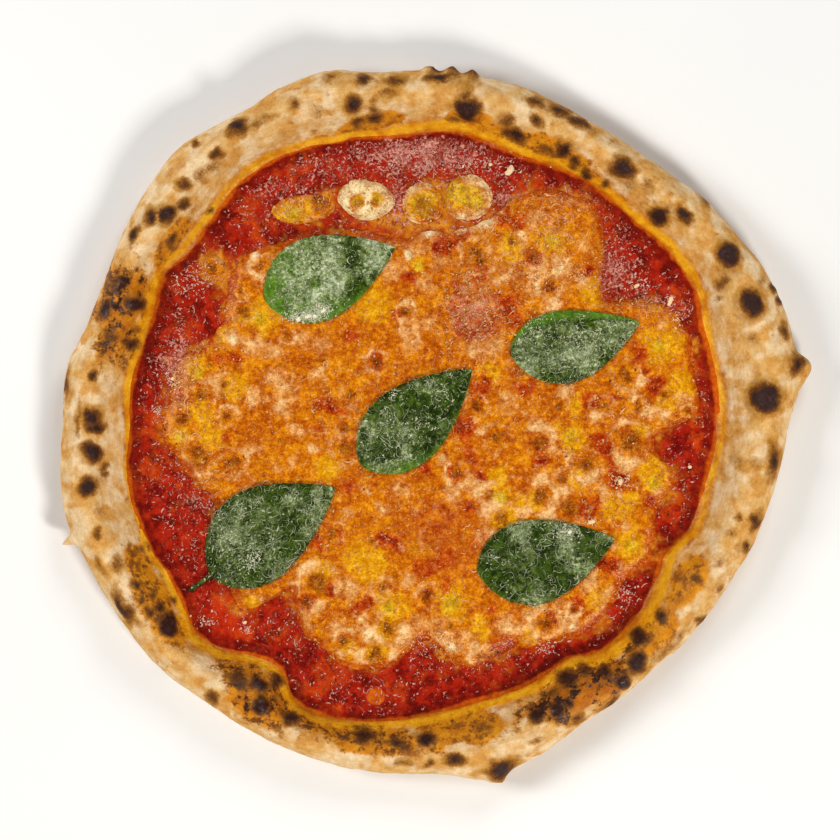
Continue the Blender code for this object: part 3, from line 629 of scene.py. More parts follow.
points = np.vstack([shaped, [(0, 0, BASE_TOP), (0, 0, 0.2)]])
ends = np.zeros(2)
marks = {
    "char": char, "halo": halo, "oil": oil, "band": band, "seep": seep, "toast": toast, "scorch": scorch}
marks = {key: np.append(number, ends) for key, number in marks.items()}
marks["grain_way"] = np.vstack([grain_way, np.zeros((2, 3))])
crust = add_piece(
    "baked_dough", points, closed_faces(rows, TURN_COLUMNS), baked_crust(), marks)
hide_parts("dough")


# Tomato sauce
# Crushed cooked tomato with its oil, spread thin by a ladle and baked on; it climbs the foot of the rim.
# It stays wet and lumpy, is darkest at its edge, and grated cheese has melted into it as a pink haze.
SAUCE_LEVEL = 5.5         # mm, height of its top
SAUCE_UNDER = 3.9         # mm, height of its underside in the middle
SAUCE_DIP = 0.55          # mm, depth of its hollows
SAUCE_COLUMNS = 700       # points in each row round the sauce
EDGE_ROWS = 26            # points along its edge
UNDER_EDGE_ROWS = 12      # of them, those that lie under the edge
INNER_RADII = (16, 32, 48, 60, 70)    # mm, rings of points under the sheet, where nothing shows
ROW_GAP = 0.75            # mm, from ring to ring further out
# Profile of its edge where it climbs the foot of the rim and turns under, as (radius, height) in mm
SAUCE_EDGE = [
    (117, 5.5), (119.5, 5.5), (120.8, 5.52), (121.6, 5.6), (122.4, 5.7), (123.2, 5.4), (122.0, 4.4),
    (118, 3.9), (113, 3.7),
]
FILM_REACH = 2.0          # mm, how far the oily film at the edge climbs beyond the sauce's outline
# Where grated cheese fell thickest, as (x, y, spread along x, spread along y, amount), in mm
THICK_FALL = [
    (-3, 113, 34, 9, 1.0), (17, 48, 12, 16, 0.9), (76, 66, 9, 12, 0.8), (-106, 24, 8, 16, 0.75),
    (-62, 96, 20, 9, 0.45), (-98, -28, 8, 10, 0.4), (50, 84, 12, 10, 0.5), (88, 52, 8, 8, 0.5),
    (40, 62, 14, 10, 0.35), (-40, 107, 16, 6, 0.6), (-15, 96, 4, 9, 0.8), (30, 96, 5, 8, 0.6),
]
# Outline of the melted cheese on the sauce, as (degrees, radius in mm)
CHEESE_OUTLINE = [
    (2, 107), (7, 109), (13, 110), (19, 112), (25, 109), (31, 101), (36, 89), (42, 94), (47, 103),
    (52, 111), (55, 114), (60, 110), (65, 105), (70, 100), (74, 89), (82, 82), (91, 80), (99, 80),
    (108, 84), (116, 88), (124, 94), (131, 100), (137, 104), (142, 105), (148, 99), (154, 96), (160, 100),
    (165, 107), (172, 109), (178, 111), (183, 111), (188, 106), (193, 101), (198, 95), (207, 98),
    (215, 104), (221, 109), (225, 108), (229, 91), (232, 94), (236, 99), (244, 103), (249, 107),
    (255, 106), (260, 101), (265, 92), (270, 91), (275, 98), (280, 102), (285, 100), (290, 99), (297, 100),
    (301, 102), (306, 105.5), (312, 106), (317, 104), (321, 101), (326, 104), (331, 104), (337, 100),
    (341, 99), (346, 101), (350, 99), (354, 92), (358, 94),
]
# Where thin cheese ran between the sheet and its bits, as (x, y, spread along x, along y, amount), in mm
RUN_TOGETHER = [
    (-8, 84, 30, 5, 1.5), (5, 92, 4, 9, 1.7), (-86, 58, 7, 9, 1.1), (-44, 94, 5, 6, 1.3),
    (-91, 66, 8, 8, 1.7), (-28, 94, 15, 11, 1.0), (6, 94, 22, 14, 1.1),
]
OIL_DROPS = [(-23.7, -112.9, 4.2)]    # x, y and radius in mm of a drop of oil that stands in the sauce
# Where the sauce is thin and glows orange-red, as (x, y, spread along x, spread along y, amount), in mm
THIN_SAUCE = [
    (-85, -78, 13, 11, 1.0), (-98, 84, 8, 8, 0.5), (-66, 93, 10, 6, 0.4), (-105, -48, 8, 12, 0.5),
    (-40, -104, 14, 6, 0.5),
]
sauce_wave = plane_wave(5, 26)


def soft_sum(x, y, places):
    """The strongest of soft patches at places in mm."""
    amount = np.zeros_like(x, dtype=float)
    for middle_x, middle_y, wide, deep, much in places:
        near = np.exp(-((x - middle_x) / wide) ** 2 - ((y - middle_y) / deep) ** 2)
        amount = np.maximum(amount, much * near)
    return amount


def fallen(x, y):
    """How thick the grated cheese fell at places in mm, from 0 to about 1."""
    return soft_sum(x, y, THICK_FALL)


def cooked_tomato():
    """Cooked tomato: wet and glossy over a lumpy pulp, deep red with orange-red where oil gathers."""
    finish, tree, shader = new_finish("cooked_tomato", ior=1.42, specular_ior_level=0.4)
    place = add(tree, "TexCoord", out="Object")
    haze, edge, oil, melt, thin = (
        add(tree, "Attribute", out="Fac", attribute_name=name)
        for name in ("haze", "edge", "oil", "melt", "thin"))
    pool, pulp, fibre, fleck, dot = (
        add(tree, "TexNoise", {"Vector": place, "Scale": MM_IN_M / size, "Detail": 2.0, "Roughness": 0.5})
        for size in (13.0, 6.0, 3.2, 2.0, 1.3))
    grain = add(tree, "TexNoise", {
        "Vector": place, "Scale": MM_IN_M / 5.0, "Detail": 5.0, "Roughness": 0.9})
    tone, _ = wash(tree, "a01d07", "780d03", 0.46, 0.54, (pulp, 0.6), (fibre, 0.4))
    tone, _ = wash(tree, tone, "b83a08", 0.52, 0.6, (pool, 0.6), (fibre, 0.4), most=0.85)
    tone, _ = wash(tree, tone, "560703", 0.54, 0.64, (fibre, 0.5), (pulp, 0.5), most=0.7)
    tone, _ = wash(tree, tone, "c03008", 0.75, 1.35, (thin, 1), (fibre, 0.8), most=0.85)
    tone, _ = wash(tree, tone, "5c0b03", 0.6, 1.4, (edge, 1), (pulp, 0.5), most=0.6)
    tone, _ = wash(tree, tone, "b04a06", 0.85, 1.5, (melt, 0.6), (fleck, 0.6), (fibre, 0.9), most=0.8)
    tone, _ = wash(tree, tone, "c87c1c", 1.35, 1.9, (melt, 0.8), (fibre, 0.8), (pulp, 0.9), most=0.9)
    tone, _ = wash(tree, tone, "c25404", 0.5, 1.15, (oil, 1), (fibre, 0.3))
    tone, film = wash(
        tree, tone, "b8604a", 0.72, 0.84, (haze, 0.28), (dot, 0.4), (pulp, 0.4), (fleck, 0.35), most=0.7)
    tone, dry = wash(
        tree, tone, "d08f7c", 0.8, 0.9, (haze, 0.22), (dot, 0.8), (pulp, 0.5), (oil, -0.2), most=0.8)
    # Fine painted light and shade over the sauce: paler specks stand for tiny highlights, deeper ones for
    # shade in pits
    tone = painted_grain_light_and_shade(tree, tone, grain, 0.16)
    tree.links.new(tone, shader.inputs["Base Color"])
    gloss = add(tree, "MapRange", {"Value": dry, "To Min": 0.14, "To Max": 0.6})
    tree.links.new(gloss, shader.inputs["Roughness"])
    height = weigh(tree, (pulp, 1.0), (fibre, 0.7), (fleck, 0.5), (dry, 0.2), (film, 0.1))
    bump = add(tree, "Bump", {"Height": height, "Strength": 0.5, "Distance": 1.2 * MM})
    tree.links.new(bump, shader.inputs["Normal"])
    return finish


outer_radii = np.arange(INNER_RADII[-1] + 1, FLAT_RADIUS, ROW_GAP)
sauce_line = np.vstack([
    [(radius, SAUCE_LEVEL) for radius in (*INNER_RADII, *outer_radii)],
    smooth_line([(FLAT_RADIUS, SAUCE_LEVEL)] + SAUCE_EDGE, EDGE_ROWS)])
sauce_angles = np.arange(SAUCE_COLUMNS) * 360 / SAUCE_COLUMNS
grid = turned_grid(sauce_line, sauce_angles)
rows = len(grid)
flat = grid.reshape(-1, 3)
turn = np.degrees(np.arctan2(flat[:, 1], flat[:, 0])) % 360
reach = np.hypot(flat[:, 0], flat[:, 1])
is_top = (np.repeat(np.arange(rows), SAUCE_COLUMNS) < rows - UNDER_EDGE_ROWS).astype(float)
dip = SAUCE_DIP * (0.5 + 0.5 * sauce_wave(flat[:, 0], flat[:, 1])) * smoothstep(5.75, 5.5, flat[:, 2])
# Lumps of pulp: large ones, smaller ones with creases between them, and fine grains
pulp = 0.24 * crags(flat, 6.5, 61) + 0.13 * np.abs(crags(flat, 2.6, 62)) + 0.05 * lumps(flat, 1.1, 63)
shaped = flat.copy()
shaped[:, 2] += is_top * (pulp - dip)
for x, y, size in OIL_DROPS:
    shaped[:, 2] += 0.5 * is_top * smoothstep(1.1, 0.2, np.hypot(flat[:, 0] - x, flat[:, 1] - y) / size)
points = np.vstack([shaped, [(0, 0, SAUCE_LEVEL - 0.3), (0, 0, SAUCE_UNDER)]])

# What the finish reads: cheese haze, the dark edge, oil at the edge and in drops, melted cheese, thin sauce
haze = fallen(flat[:, 0], flat[:, 1])
inward = sauce_radius(turn) + FILM_REACH - reach
rim_edge = smoothstep(10.0, 4.0, inward + 2.0 * lumps(flat, 8, 64))
oily = smoothstep(3.6, 0.4, inward + 1.4 * crags(flat, 5, 65))
for x, y, size in OIL_DROPS:
    oily = np.maximum(oily, smoothstep(1.15, 0.75, np.hypot(flat[:, 0] - x, flat[:, 1] - y) / size))
past_cheese = reach - round_outline(CHEESE_OUTLINE)(turn)
melt = smoothstep(9.0, -2.0, past_cheese + 9.0 * crags(flat, 9, 66))
melt = np.maximum(melt, soft_sum(flat[:, 0], flat[:, 1], RUN_TOGETHER))
thin = soft_sum(flat[:, 0], flat[:, 1], THIN_SAUCE)
marks = {"haze": haze, "edge": rim_edge, "oil": oily, "melt": melt, "thin": thin}
marks = {key: np.append(number, ends) for key, number in marks.items()}
sauce = add_piece(
    "cooked_sauce", points, closed_faces(rows, SAUCE_COLUMNS), cooked_tomato(), marks)
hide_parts("tomato_sauce")


# Melted mozzarella
# Torn fresh mozzarella that ran together into one lobed sheet, with a few bits that stayed apart.
# Its fat turned orange with tomato and lies in small pools, and cream curd stands in ridges between them.
CHEESE_UNDER = 5.95       # mm, level that the cheese lies at
CHEESE_CELLS = 284        # cells of the sheet along each side of its grid
PATCH_CELLS = 60          # cells of a bit that stayed apart
CHEESE_SWELL = 0.6        # mm, how unevenly it melted
EDGE_SINK = 0.6           # mm, how deep the thin edge lies in the sauce
SHEET_SPILL = 1.0         # mm, how far the sheet spills past its outline
SHEET_REACH = 95          # mm, its radius on the average
LOBE_SIZE = 11            # mm, from one small lobe of its edge to the next
LOBE_DEPTH = 3.4          # mm, how far the lobes reach in and out
FOOT_DROP = 0.35          # mm, how far the underside lies below the edge
# Bits that stayed apart, each as (x, y, half length, half width, turn in degrees), in mm
CHEESE_PATCHES = {
    "mozzarella_patch_1": (-53.9, 89.8, 12.6, 5.9, 4),
    "mozzarella_patch_2": (-27.8, 93.6, 11.8, 8.4, -6),
    "mozzarella_patch_3": (-4.2, 92.2, 8.8, 8.8, 0),
    "mozzarella_patch_4": (14.6, 94.4, 10.0, 9.4, 12),
    "mozzarella_patch_5": (-91.3, 66.0, 4.1, 4.1, 0),
}
# Soft spots of the cheese seen from above, by look, each as (x, y, size) in mm
CREAM_SPOTS = [
    (-98, 61, 3), (-95, 71, 3), (-87, 67, 2), (-96, 66, 2.5), (-89, 61, 2.5), (-75, 64, 4), (-74, 71, 3),
    (-69, 58, 3), (-83, 36, 5), (-75, 33, 5), (-66, 31, 5), (-55, 36, 5), (-45, 33, 4), (-38, 94, 4),
    (-28, 101, 4), (-17, 95, 4), (-27, 87, 5), (-36, 88, 3), (-20, 89, 3), (-27, 94, 2.5), (-9, 99, 2.5),
    (7, 99, 3), (16, 102, 4), (23, 97, 4), (21, 89, 4), (14, 87, 4), (7, 91, 2.5), (-10, 77, 7),
    (-16, 66, 6), (-4, 73, 4), (4, 67, 4), (-3, 58, 5), (-10, 50, 3), (-2, 43, 4), (-10, 38, 4),
    (-8, 33, 4), (18, 32, 5), (26, 33, 5), (32, 64, 4), (28, 60, 3), (70, 88, 5), (62, 75, 4), (53, 65, 6),
    (42, 60, 5), (50, 49, 5), (42, 85, 4), (63, 60, 3), (38, 78, 3), (98.5, 51.5, 3), (94, 41, 3),
    (-90, 18, 5), (-60, 18, 6), (-66, 20, 3), (-47, 21, 4), (-74, 12, 5), (-62, 8, 4), (-103, -15, 3),
    (-99, -22, 3), (-58, -15, 3), (-57, -2, 4), (-75, -12, 4), (-85, 6, 3), (-50, -9, 3), (-66, -18, 3),
    (30, 10, 5), (19, -3, 2.5), (4, -15, 3), (8, -28, 5), (18, -26, 5), (24, -33, 5), (-14, -27, 3.5),
    (-8, -35, 3), (-21, -35, 3), (-36, -38, 3), (-28, -27, 3), (56, 15, 5), (87, 19, 3), (83, 12, 2.5),
    (90, 6, 3.5), (105, 10, 3.5), (96, 3, 3), (44, 0.5, 4), (49, -4, 3), (45, -22, 4), (55, -13, 3),
    (54, -28, 4), (48, -36, 4), (38, -36, 3), (80, 2, 3), (92, -9, 3), (80, -15, 5), (65, -22, 5),
    (71, -29, 3), (78, -30, 2.5), (96, -14, 3), (68, 2, 3), (-53, -60, 4), (-58, -68, 3), (-55, -81, 5),
    (-47, -77, 3), (-41, -84, 4), (-60, -73, 3), (-76, -69, 3), (-71, -73, 2.5), (-35, -67, 5),
    (-12, -53, 2), (19, -47, 4), (-10, -65, 4), (-21, -68, 3), (-30, -80, 3), (-34, -85, 3), (-27, -86, 4),
    (-13, -88, 5), (-6, -82, 4), (0, -82, 4), (8, -92, 6), (15, -99, 3), (18, -93, 4), (30, -83, 4),
    (36, -86, 4), (25, -99, 2.5), (-17, -97, 3), (-31, -97, 3), (-23, -89, 2.5), (-40, -97, 3),
    (2, -88, 3), (14, -88, 3), (40, -79, 3), (44, -75, 3), (52, -74, 4), (58, -79, 4), (57, -86, 4),
    (48, -88, 3), (42, -86, 3), (51, -81, 2), (74, -70, 3), (71, -77, 3), (66, -64, 3), (62, -67, 3),
    (75, -51, 2.5), (80, -60, 3), (90, -52, 3), (86, -61, 2.5), (79, -41, 3), (91, -43, 3), (99, -22, 3),
    (94, -28, 3),
]
RED_SPOTS = [
    (7.9, 78, 5), (4, 75, 5), (14, 81, 4), (-25, 81, 5), (-14, 90, 3), (10, 57, 4), (9, 48, 4),
    (11, 41, 4), (18, 48, 6), (17, 38, 4), (30, 50, 6), (32, 44, 5), (23, 42, 5), (30, 86, 6), (36, 80, 3),
    (42, 69, 4), (48, 58, 3), (-34, 37, 4), (-24, 27, 4), (-10, 61, 3), (-46, 9, 4), (-42, 5, 3),
    (-48, -2, 2.5), (-38, 6, 2), (-36, -26, 3), (-90, 28, 3), (-84, 27.5, 3), (-79, 27, 3),
    (-104, 12, 3.5), (16, -11, 4), (17, -15, 3), (19, -21, 3), (13, -2, 5), (19, 14, 5), (21, 19, 4),
    (-3, -18, 4), (8, -22, 4), (16, -33, 3), (66, 10, 5), (70, -5, 5), (72, -10, 4), (74, -16, 3),
    (78, -22, 6), (93, 17, 5), (88, 22, 3), (97, -7, 5), (86, 30, 4), (44, -7, 4), (44, -15, 4),
    (66, -33, 5), (63, -38, 3), (90, -33, 4), (74, 12, 3), (76, -60, 5), (-20, -48, 5), (-14, -50, 4),
    (-6, -59, 3), (0, -57, 4), (6, -55, 3), (-2, -62, 3), (-27, -74, 3.5), (-38, -46, 3), (-48, -50, 4),
    (-42, -69, 4), (-53, -74, 4), (-50, -88, 3), (-33, -76, 3), (26, -76, 3), (27, -90, 5), (5, -66, 3),
    (-3, -90, 4), (60, -73, 5), (49, -82, 4), (56, -79, 2), (70, -58, 4), (32, -92, 3), (-2, -71, 3),
    (-15, 46, 3), (38, 15, 4), (78, 58, 5), (64, 64, 4), (20, 62, 4), (-86, -4, 3),
]
BROWN_SPOTS = [
    (-3.5, 89.5, 5), (-47, 92.5, 5), (-31.5, 92, 2.5), (-23.5, 93, 2.5), (-92.5, 65.5, 3), (-71, 66, 3),
    (-80, 56, 2), (21, 68, 3), (33, 76, 3), (48, 58, 3.5), (42, 70, 3), (-34, 13, 3), (-36, -1, 3),
    (-36, -10, 4), (-96, 13, 4), (-104, 3, 4), (-97, -13, 5), (-84, -16, 4), (-87, 17, 2.5), (-85, 4, 2.5),
    (-79, 47, 3), (27, -5, 3.5), (28, -39, 4.5), (23, -28, 3), (4, -36, 3), (-11, 47, 2.5), (52, 8, 3),
    (44, -7, 4), (70, 8, 3), (86, 9, 2.5), (82, -7, 5), (64, -16, 4), (57, -34, 5), (54, -22, 2.5),
    (45, -30, 4), (80, 21, 4), (-1, -47, 3), (-2, -71, 3), (-21, -68, 3), (-19, -84, 4), (-24, -95, 4),
    (-37, -90, 3), (27, -95, 3), (-48, -66, 5), (-53, -74, 3), (-41, -46, 3), (47, -83, 4), (58, -76, 2),
    (20, -96, 3), (-26, -48, 1.5), (85, 54, 3), (18, 72, 4), (10, -21, 3), (-64, -93, 3), (-24, 26, 3),
    (-60, 37, 2), (12, 22, 2), (18, 8, 3), (8, -84, 2), (97, 12, 2), (106, 5, 1.6),
]
GOLD_SPOTS = [
    (-4, 95, 6), (-8, 90, 5), (5, 92, 4), (14, 94, 6), (19, 93, 4), (-30, 93, 4), (-22, 94, 4),
    (-54, 90, 5), (-99, 24, 6), (-98, 6, 6), (-83, 15, 6), (-105, -5, 5), (-72, 46, 8), (-6, 67, 4),
    (33, 74, 6), (50, 77, 8), (66, 55, 6), (94, 33, 8), (101, 36, 5), (103, 17, 6), (97, 8, 6), (60, 8, 6),
    (57, -5, 7), (87, -2, 5), (90, -19, 6), (92, -25, 5), (75, -34, 6), (83, -33, 4), (27, -22, 6),
    (28, -39, 8), (40, -32, 5), (60, -22, 5), (-45, -17, 6), (-25, 50, 8), (-3, -51, 6), (10, -45, 7),
    (-30, -55, 7), (-25, -61, 6), (-47, -61, 5), (-76, -74, 5), (8, -74, 8), (-18, -75, 7), (-24, -95, 6),
    (-19, -84, 6), (20, -83, 5), (83, -50, 8), (68, -72, 6), (40, -88, 4), (-88, 38, 4), (94, 52, 5),
    (24, 22, 5), (-66, 86, 5), (-35, -93, 4), (47, 27, 4), (-92, -4, 6), (30, -58, 5),
]
# Milk-white curd that kept its own colour, and clear pools of yellow butterfat, each as (x, y, size) in mm
MILK_SPOTS = [
    (-33, 99, 7), (-23, 99, 7), (-27, 88, 7), (-37, 92, 5), (-18, 92, 5), (-28, 94, 4), (7, 100, 5),
    (15, 105, 6), (24, 101, 6), (26, 93, 5), (21, 86, 6), (11, 84, 5), (-9, 99, 4.5), (-1, 101, 4.5),
    (-14, 93, 4), (-9, 84, 4), (-2, 82, 4), (4, 84, 4), (-97, 67, 3), (-88, 70, 3), (-87, 61, 2.5),
    (-96, 60, 2.5), (-74, 71, 2), (-83, 36, 2.4), (-10, 71, 2.4), (53, 65, 2.4), (70, 88, 2.4),
    (58, -84, 2), (8, -93, 2.2), (-27, -87, 2.2),
]
BUTTER_SPOTS = [
    (-31.5, 93, 3.2), (-23, 94, 3.4), (-4, 92, 6.8), (6, 100, 5), (12, 96.5, 6), (18, 93, 5.5),
    (-58, 88.5, 5.5), (-6, 66, 3), (-72, 45, 4), (-105, -5, 3), (-98, 22, 4), (50, 77, 4), (94, 33, 4),
    (83, -50, 4), (92, -24, 4), (57, -5, 4), (8, -74, 5), (-18, -76, 4), (28, -30, 4),
]
# Where the cheese is thin and the sauce shows through it, as (x, y, spread along x, along y, amount), in mm
SAUCY_CHEESE = [(6, -46, 25, 22, 0.95), (26, 44, 14, 16, 0.4)]
CHEESE_TURN = 2.6         # mm, how far the soft spots wander from their places
CURD_SIZE = 5.6           # mm, from one lump of curd to the next
cheese_radius = round_outline(CHEESE_OUTLINE)
cheese_wave = plane_wave(8, 21)


def even_disc(cells):
    """A square grid pressed into a disc of radius 1 in cells of nearly even size, as x and y arrays."""
    line = np.linspace(-1, 1, cells + 1)
    a, b = np.meshgrid(line, line, indexing="ij")
    wide = np.abs(a) > np.abs(b)
    radius = np.where(wide, a, b)
    ratio = np.where(wide, b, a) / np.where(radius == 0, 1, radius)
    swing = np.where(wide, ratio * math.pi / 4, math.pi / 2 - ratio * math.pi / 4)
    return radius * np.cos(swing), radius * np.sin(swing)


def disc_faces(cells):
    """Faces of the square grid, and its border points in order round the disc."""
    size = cells + 1
    i, j = np.meshgrid(np.arange(cells), np.arange(cells), indexing="ij")
    a = i * size + j
    faces = np.stack([a, a + size, a + size + 1, a + 1], axis=2).reshape(-1, 4).tolist()
    along = np.arange(cells)
    border = np.concatenate([
        along * size, cells * size + along, (cells - along) * size + cells, cells - along,
    ])
    return faces, border


def curd_cells(x, y, size, seed):
    """Distances in mm to the nearest and the second nearest of scattered points about size mm apart."""
    near = np.full(x.shape, 1e9)
    second = np.full(x.shape, 1e9)
    column, row = np.floor(x / size).astype(np.int64), np.floor(y / size).astype(np.int64)
    for di in (-1, 0, 1):
        for dj in (-1, 0, 1):
            i, j = column + di, row + dj
            key = (i * 73856093 ^ j * 19349663 ^ seed * 83492791) & 0x7FFFFFFF
            key = (key ^ (key >> 13)) * 1274126177 & 0x7FFFFFFF
            spot_x = (i + 0.1 + 0.8 * (key % 1009) / 1009) * size
            spot_y = (j + 0.1 + 0.8 * (key // 1009 % 1013) / 1013) * size
            apart = np.hypot(x - spot_x, y - spot_y)
            second = np.minimum(second, np.maximum(near, apart))
            near = np.minimum(near, apart)
    return near, second


def mozzarella():
    """Melted mozzarella: soft satin curd in cream over orange and yellow fat, stained red by the sauce."""
    finish, tree, shader = new_finish("melted_mozzarella", ior=1.45, specular_ior_level=0.16)
    place = add(tree, "TexCoord", out="Object")
    cream, red, brown, gold, milk, butter, stain, haze = (
        add(tree, "Attribute", out="Fac", attribute_name=name)
        for name in ("cream", "red", "brown", "gold", "milk", "butter", "stain", "haze"))
    cloud, soft, speck, fine, crumb = (
        add(tree, "TexNoise", {"Vector": place, "Scale": MM_IN_M / size, "Detail": 2.0, "Roughness": 0.65})
        for size in (11.0, 6.0, 3.6, 2.2, 1.4))
    grain = add(tree, "TexNoise", {
        "Vector": place, "Scale": MM_IN_M / 4.0, "Detail": 5.0, "Roughness": 0.95})
    tone, _ = wash(tree, "b85a02", "cf7604", 0.45, 0.55, (cloud, 0.3), (soft, 0.5), (fine, 0.2))
    tone, _ = wash(tree, tone, "a04802", 0.54, 0.66, (speck, 0.6), (soft, 0.4), most=0.8)
    tone, _ = wash(tree, tone, "d89408", 1.2, 1.8, (gold, 1.0), (speck, 1.0), (soft, 1.0), most=0.9)
    tone, _ = wash(tree, tone, "b03404", 1.28, 1.8, (red, 1.0), (speck, 1.0), (fine, 1.0), most=0.88)
    tone, _ = wash(tree, tone, "7e1402", 1.65, 2.1, (red, 1.0), (fine, 1.0), (crumb, 1.0), most=0.85)
    tone, _ = wash(tree, tone, "924604", 1.28, 1.85, (brown, 1.0), (speck, 0.9), (crumb, 1.1), most=0.85)
    tone, _ = wash(tree, tone, "602c04", 1.7, 2.15, (brown, 1.0), (fine, 1.0), (crumb, 1.0), most=0.75)
    tone, pale = wash(tree, tone, "d8934a", 1.27, 1.85, (cream, 1.0), (speck, 1.0), (crumb, 1.0), most=0.8)
    tone, _ = wash(tree, tone, "e8b878", 1.65, 2.15, (cream, 1.0), (fine, 1.0), (crumb, 1.0), most=0.8)
    tone, _ = wash(tree, tone, "eedaa4", 1.1, 1.75, (milk, 1.0), (fine, 0.8), (crumb, 0.8), most=0.9)
    tone, _ = wash(tree, tone, "c69c16", 0.85, 1.4, (butter, 1.0), (speck, 0.9), most=0.88)
    tone, _ = wash(tree, tone, "a0600c", 1.15, 1.6, (butter, 0.6), (soft, 0.8), (brown, 0.9), most=0.8)
    tone, _ = wash(tree, tone, "d68c4a", 0.56, 0.64, (crumb, 0.6), (fine, 0.4), most=0.5)
    tone, _ = wash(tree, tone, "b2480a", 0.8, 1.5, (stain, 1.0), (speck, 0.5), (fine, 0.5), most=0.85)
    tone, dry = wash(tree, tone, "c88468", 1.35, 1.75, (haze, 0.6), (crumb, 1.3), (fine, 1.0), most=0.75)
    # Fine painted light and shade over the cheese: paler specks stand for tiny highlights, deeper ones for
    # shade in pits
    tone = painted_grain_light_and_shade(tree, tone, grain, 0.3)
    tree.links.new(tone, shader.inputs["Base Color"])
    gloss = add(tree, "MapRange", {
        "Value": weigh(tree, (pale, 0.6), (dry, 0.6)), "To Min": 0.24, "To Max": 0.6})
    tree.links.new(gloss, shader.inputs["Roughness"])
    height = weigh(tree, (fine, 0.8), (speck, 0.9), (crumb, 0.5), (soft, 0.5), (pale, 0.2))
    bump = add(tree, "Bump", {"Height": height, "Strength": 0.5, "Distance": 1.1 * MM})
    tree.links.new(bump, shader.inputs["Normal"])
    return finish


def spots_at(x, y, spots):
    """How deep places in mm lie in soft spots that run together: near 1 in their middles, 0 well outside."""
    clear = np.ones(x.shape)
    for a, b, size in spots:
        clear *= 1 - 0.95 * smoothstep(1.7, 0.1, np.hypot(x - a, y - b) / size)
    return 1 - clear


def rings_at(x, y, spots):
    """The curd that stands in a ring round each pool."""
    value = np.zeros(x.shape)
    for a, b, size in spots:
        value = np.maximum(value, np.exp(-(((np.hypot(x - a, y - b) / size) - 1.6) / 0.42) ** 2))
    return value


def cheese_values(flat, edge_gap, melting, stained):
    """What the finish reads at each point, by look; and the relief in mm."""
    x = flat[:, 0] + CHEESE_TURN * crags(flat, 8, 71, 5)
    y = flat[:, 1] + CHEESE_TURN * crags(flat, 8, 72, 5)

    # A net of curd between pits where bubbles browned, and the spots that show in their own places
    near, second = curd_cells(x, y, CURD_SIZE, 5)
    net = smoothstep(2.6, 0.2, second - near + 1.0 * crags(flat, 3.0, 70))
    net = net * smoothstep(-0.35, 0.4, crags(flat, 16, 73))
    pit = smoothstep(2.2, 0.6, near) * smoothstep(0.0, 0.4, crags(flat, 11, 78))
    brown = np.maximum(spots_at(x, y, BROWN_SPOTS), 0.55 * pit)
    red = spots_at(x, y, RED_SPOTS) + 0.35 * crags(flat, 6, 77)

    # Sauce stains the thin edge; cream stands round the browned pits and thins out at the edge
    stain = smoothstep(melting, 0.1 * melting, edge_gap + 0.8 * melting * crags(flat, 7, 76))
    stain = np.maximum(stain, soft_sum(x, y, SAUCY_CHEESE))
    cream = 0.8 * spots_at(x, y, CREAM_SPOTS) + 0.3 * net + 0.5 * rings_at(x, y, BROWN_SPOTS)
    cream = (cream + 0.4 * crags(flat, 5, 74)) * (1 - 0.7 * brown)
    cream *= 0.3 + 0.7 * smoothstep(0.0, 0.6 * melting, edge_gap)
    gold = spots_at(x, y, GOLD_SPOTS) + 0.35 * crags(flat, 9, 75)

    # The clearest marks wander only a third as far from their places
    less_x, less_y = (2 * flat[:, 0] + x) / 3, (2 * flat[:, 1] + y) / 3
    butter = spots_at(less_x, less_y, BUTTER_SPOTS)
    milk = spots_at(less_x, less_y, MILK_SPOTS) * (1 - 0.9 * butter) * (1 - 0.5 * brown)
    stain *= stained * (1 - 0.9 * np.clip(milk + butter, 0, 1))

    # Cream stands proud, red and browned spots are sunk, and the whole is finely uneven
    relief = 0.4 * np.clip(cream, 0, 1) - 0.4 * np.clip(red, 0, 1) - 0.3 * brown
    relief += 0.2 * crags(flat, 2.6, 79) + 0.07 * lumps(flat, 1.2, 80)
    return {
        "cream": cream, "red": red * (1 - 0.8 * milk), "brown": brown, "gold": gold, "milk": milk,
        "butter": butter, "stain": stain, "haze": fallen(x, y)}, relief


def edge_lumps(turn_deg, radius, size, seed):
    """Uneven melting round an edge: a random value between -1 and 1 for each direction from its middle."""
    round_turn = np.radians(turn_deg.ravel())
    ring = radius * np.column_stack([np.cos(round_turn), np.sin(round_turn), 0 * round_turn])
    return crags(ring, size, seed).reshape(turn_deg.shape)


def cheese_piece(name, node, x, y, cells, edge_gap, melting, stained, thick, finish):
    """A closed melted piece over a disc grid laid out at x, y.

    edge_gap is the distance in mm to its edge, melting is how many mm from there it thins out, stained is
    how much sauce it takes up there, and thick is its thickness in mm.
    """
    size = (cells + 1) ** 2
    flat = np.column_stack([x.ravel(), y.ravel(), np.full(size, CHEESE_UNDER)])
    values, relief = cheese_values(flat, edge_gap.ravel(), melting, stained)
    brim = smoothstep(0.0, 1.2 * melting, edge_gap.ravel()) ** 0.8
    rise = thick * brim + brim * (relief + CHEESE_SWELL * cheese_wave(flat[:, 0], flat[:, 1]))
    flat[:, 2] += rise - EDGE_SINK * smoothstep(1.3, 0.0, edge_gap.ravel())
    faces, border = disc_faces(cells)
    foot = flat[border].copy()
    foot[:, 2] = CHEESE_UNDER - EDGE_SINK - FOOT_DROP
    middle = np.array([[x.mean(), y.mean(), CHEESE_UNDER - EDGE_SINK - FOOT_DROP]])
    count = len(border)
    ring = size + np.arange(count)
    after, ring_after = np.roll(border, -1), np.roll(ring, -1)
    faces += np.stack([border, ring, ring_after, after], axis=1).tolist()
    faces += fan_faces(size + count, ring, True)
    spare = np.zeros(count + 1)
    values = {key: np.append(number, spare) for key, number in values.items()}
    piece = add_piece(name, np.vstack([flat, foot, middle]), faces, finish, values)
    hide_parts(node)
    return piece


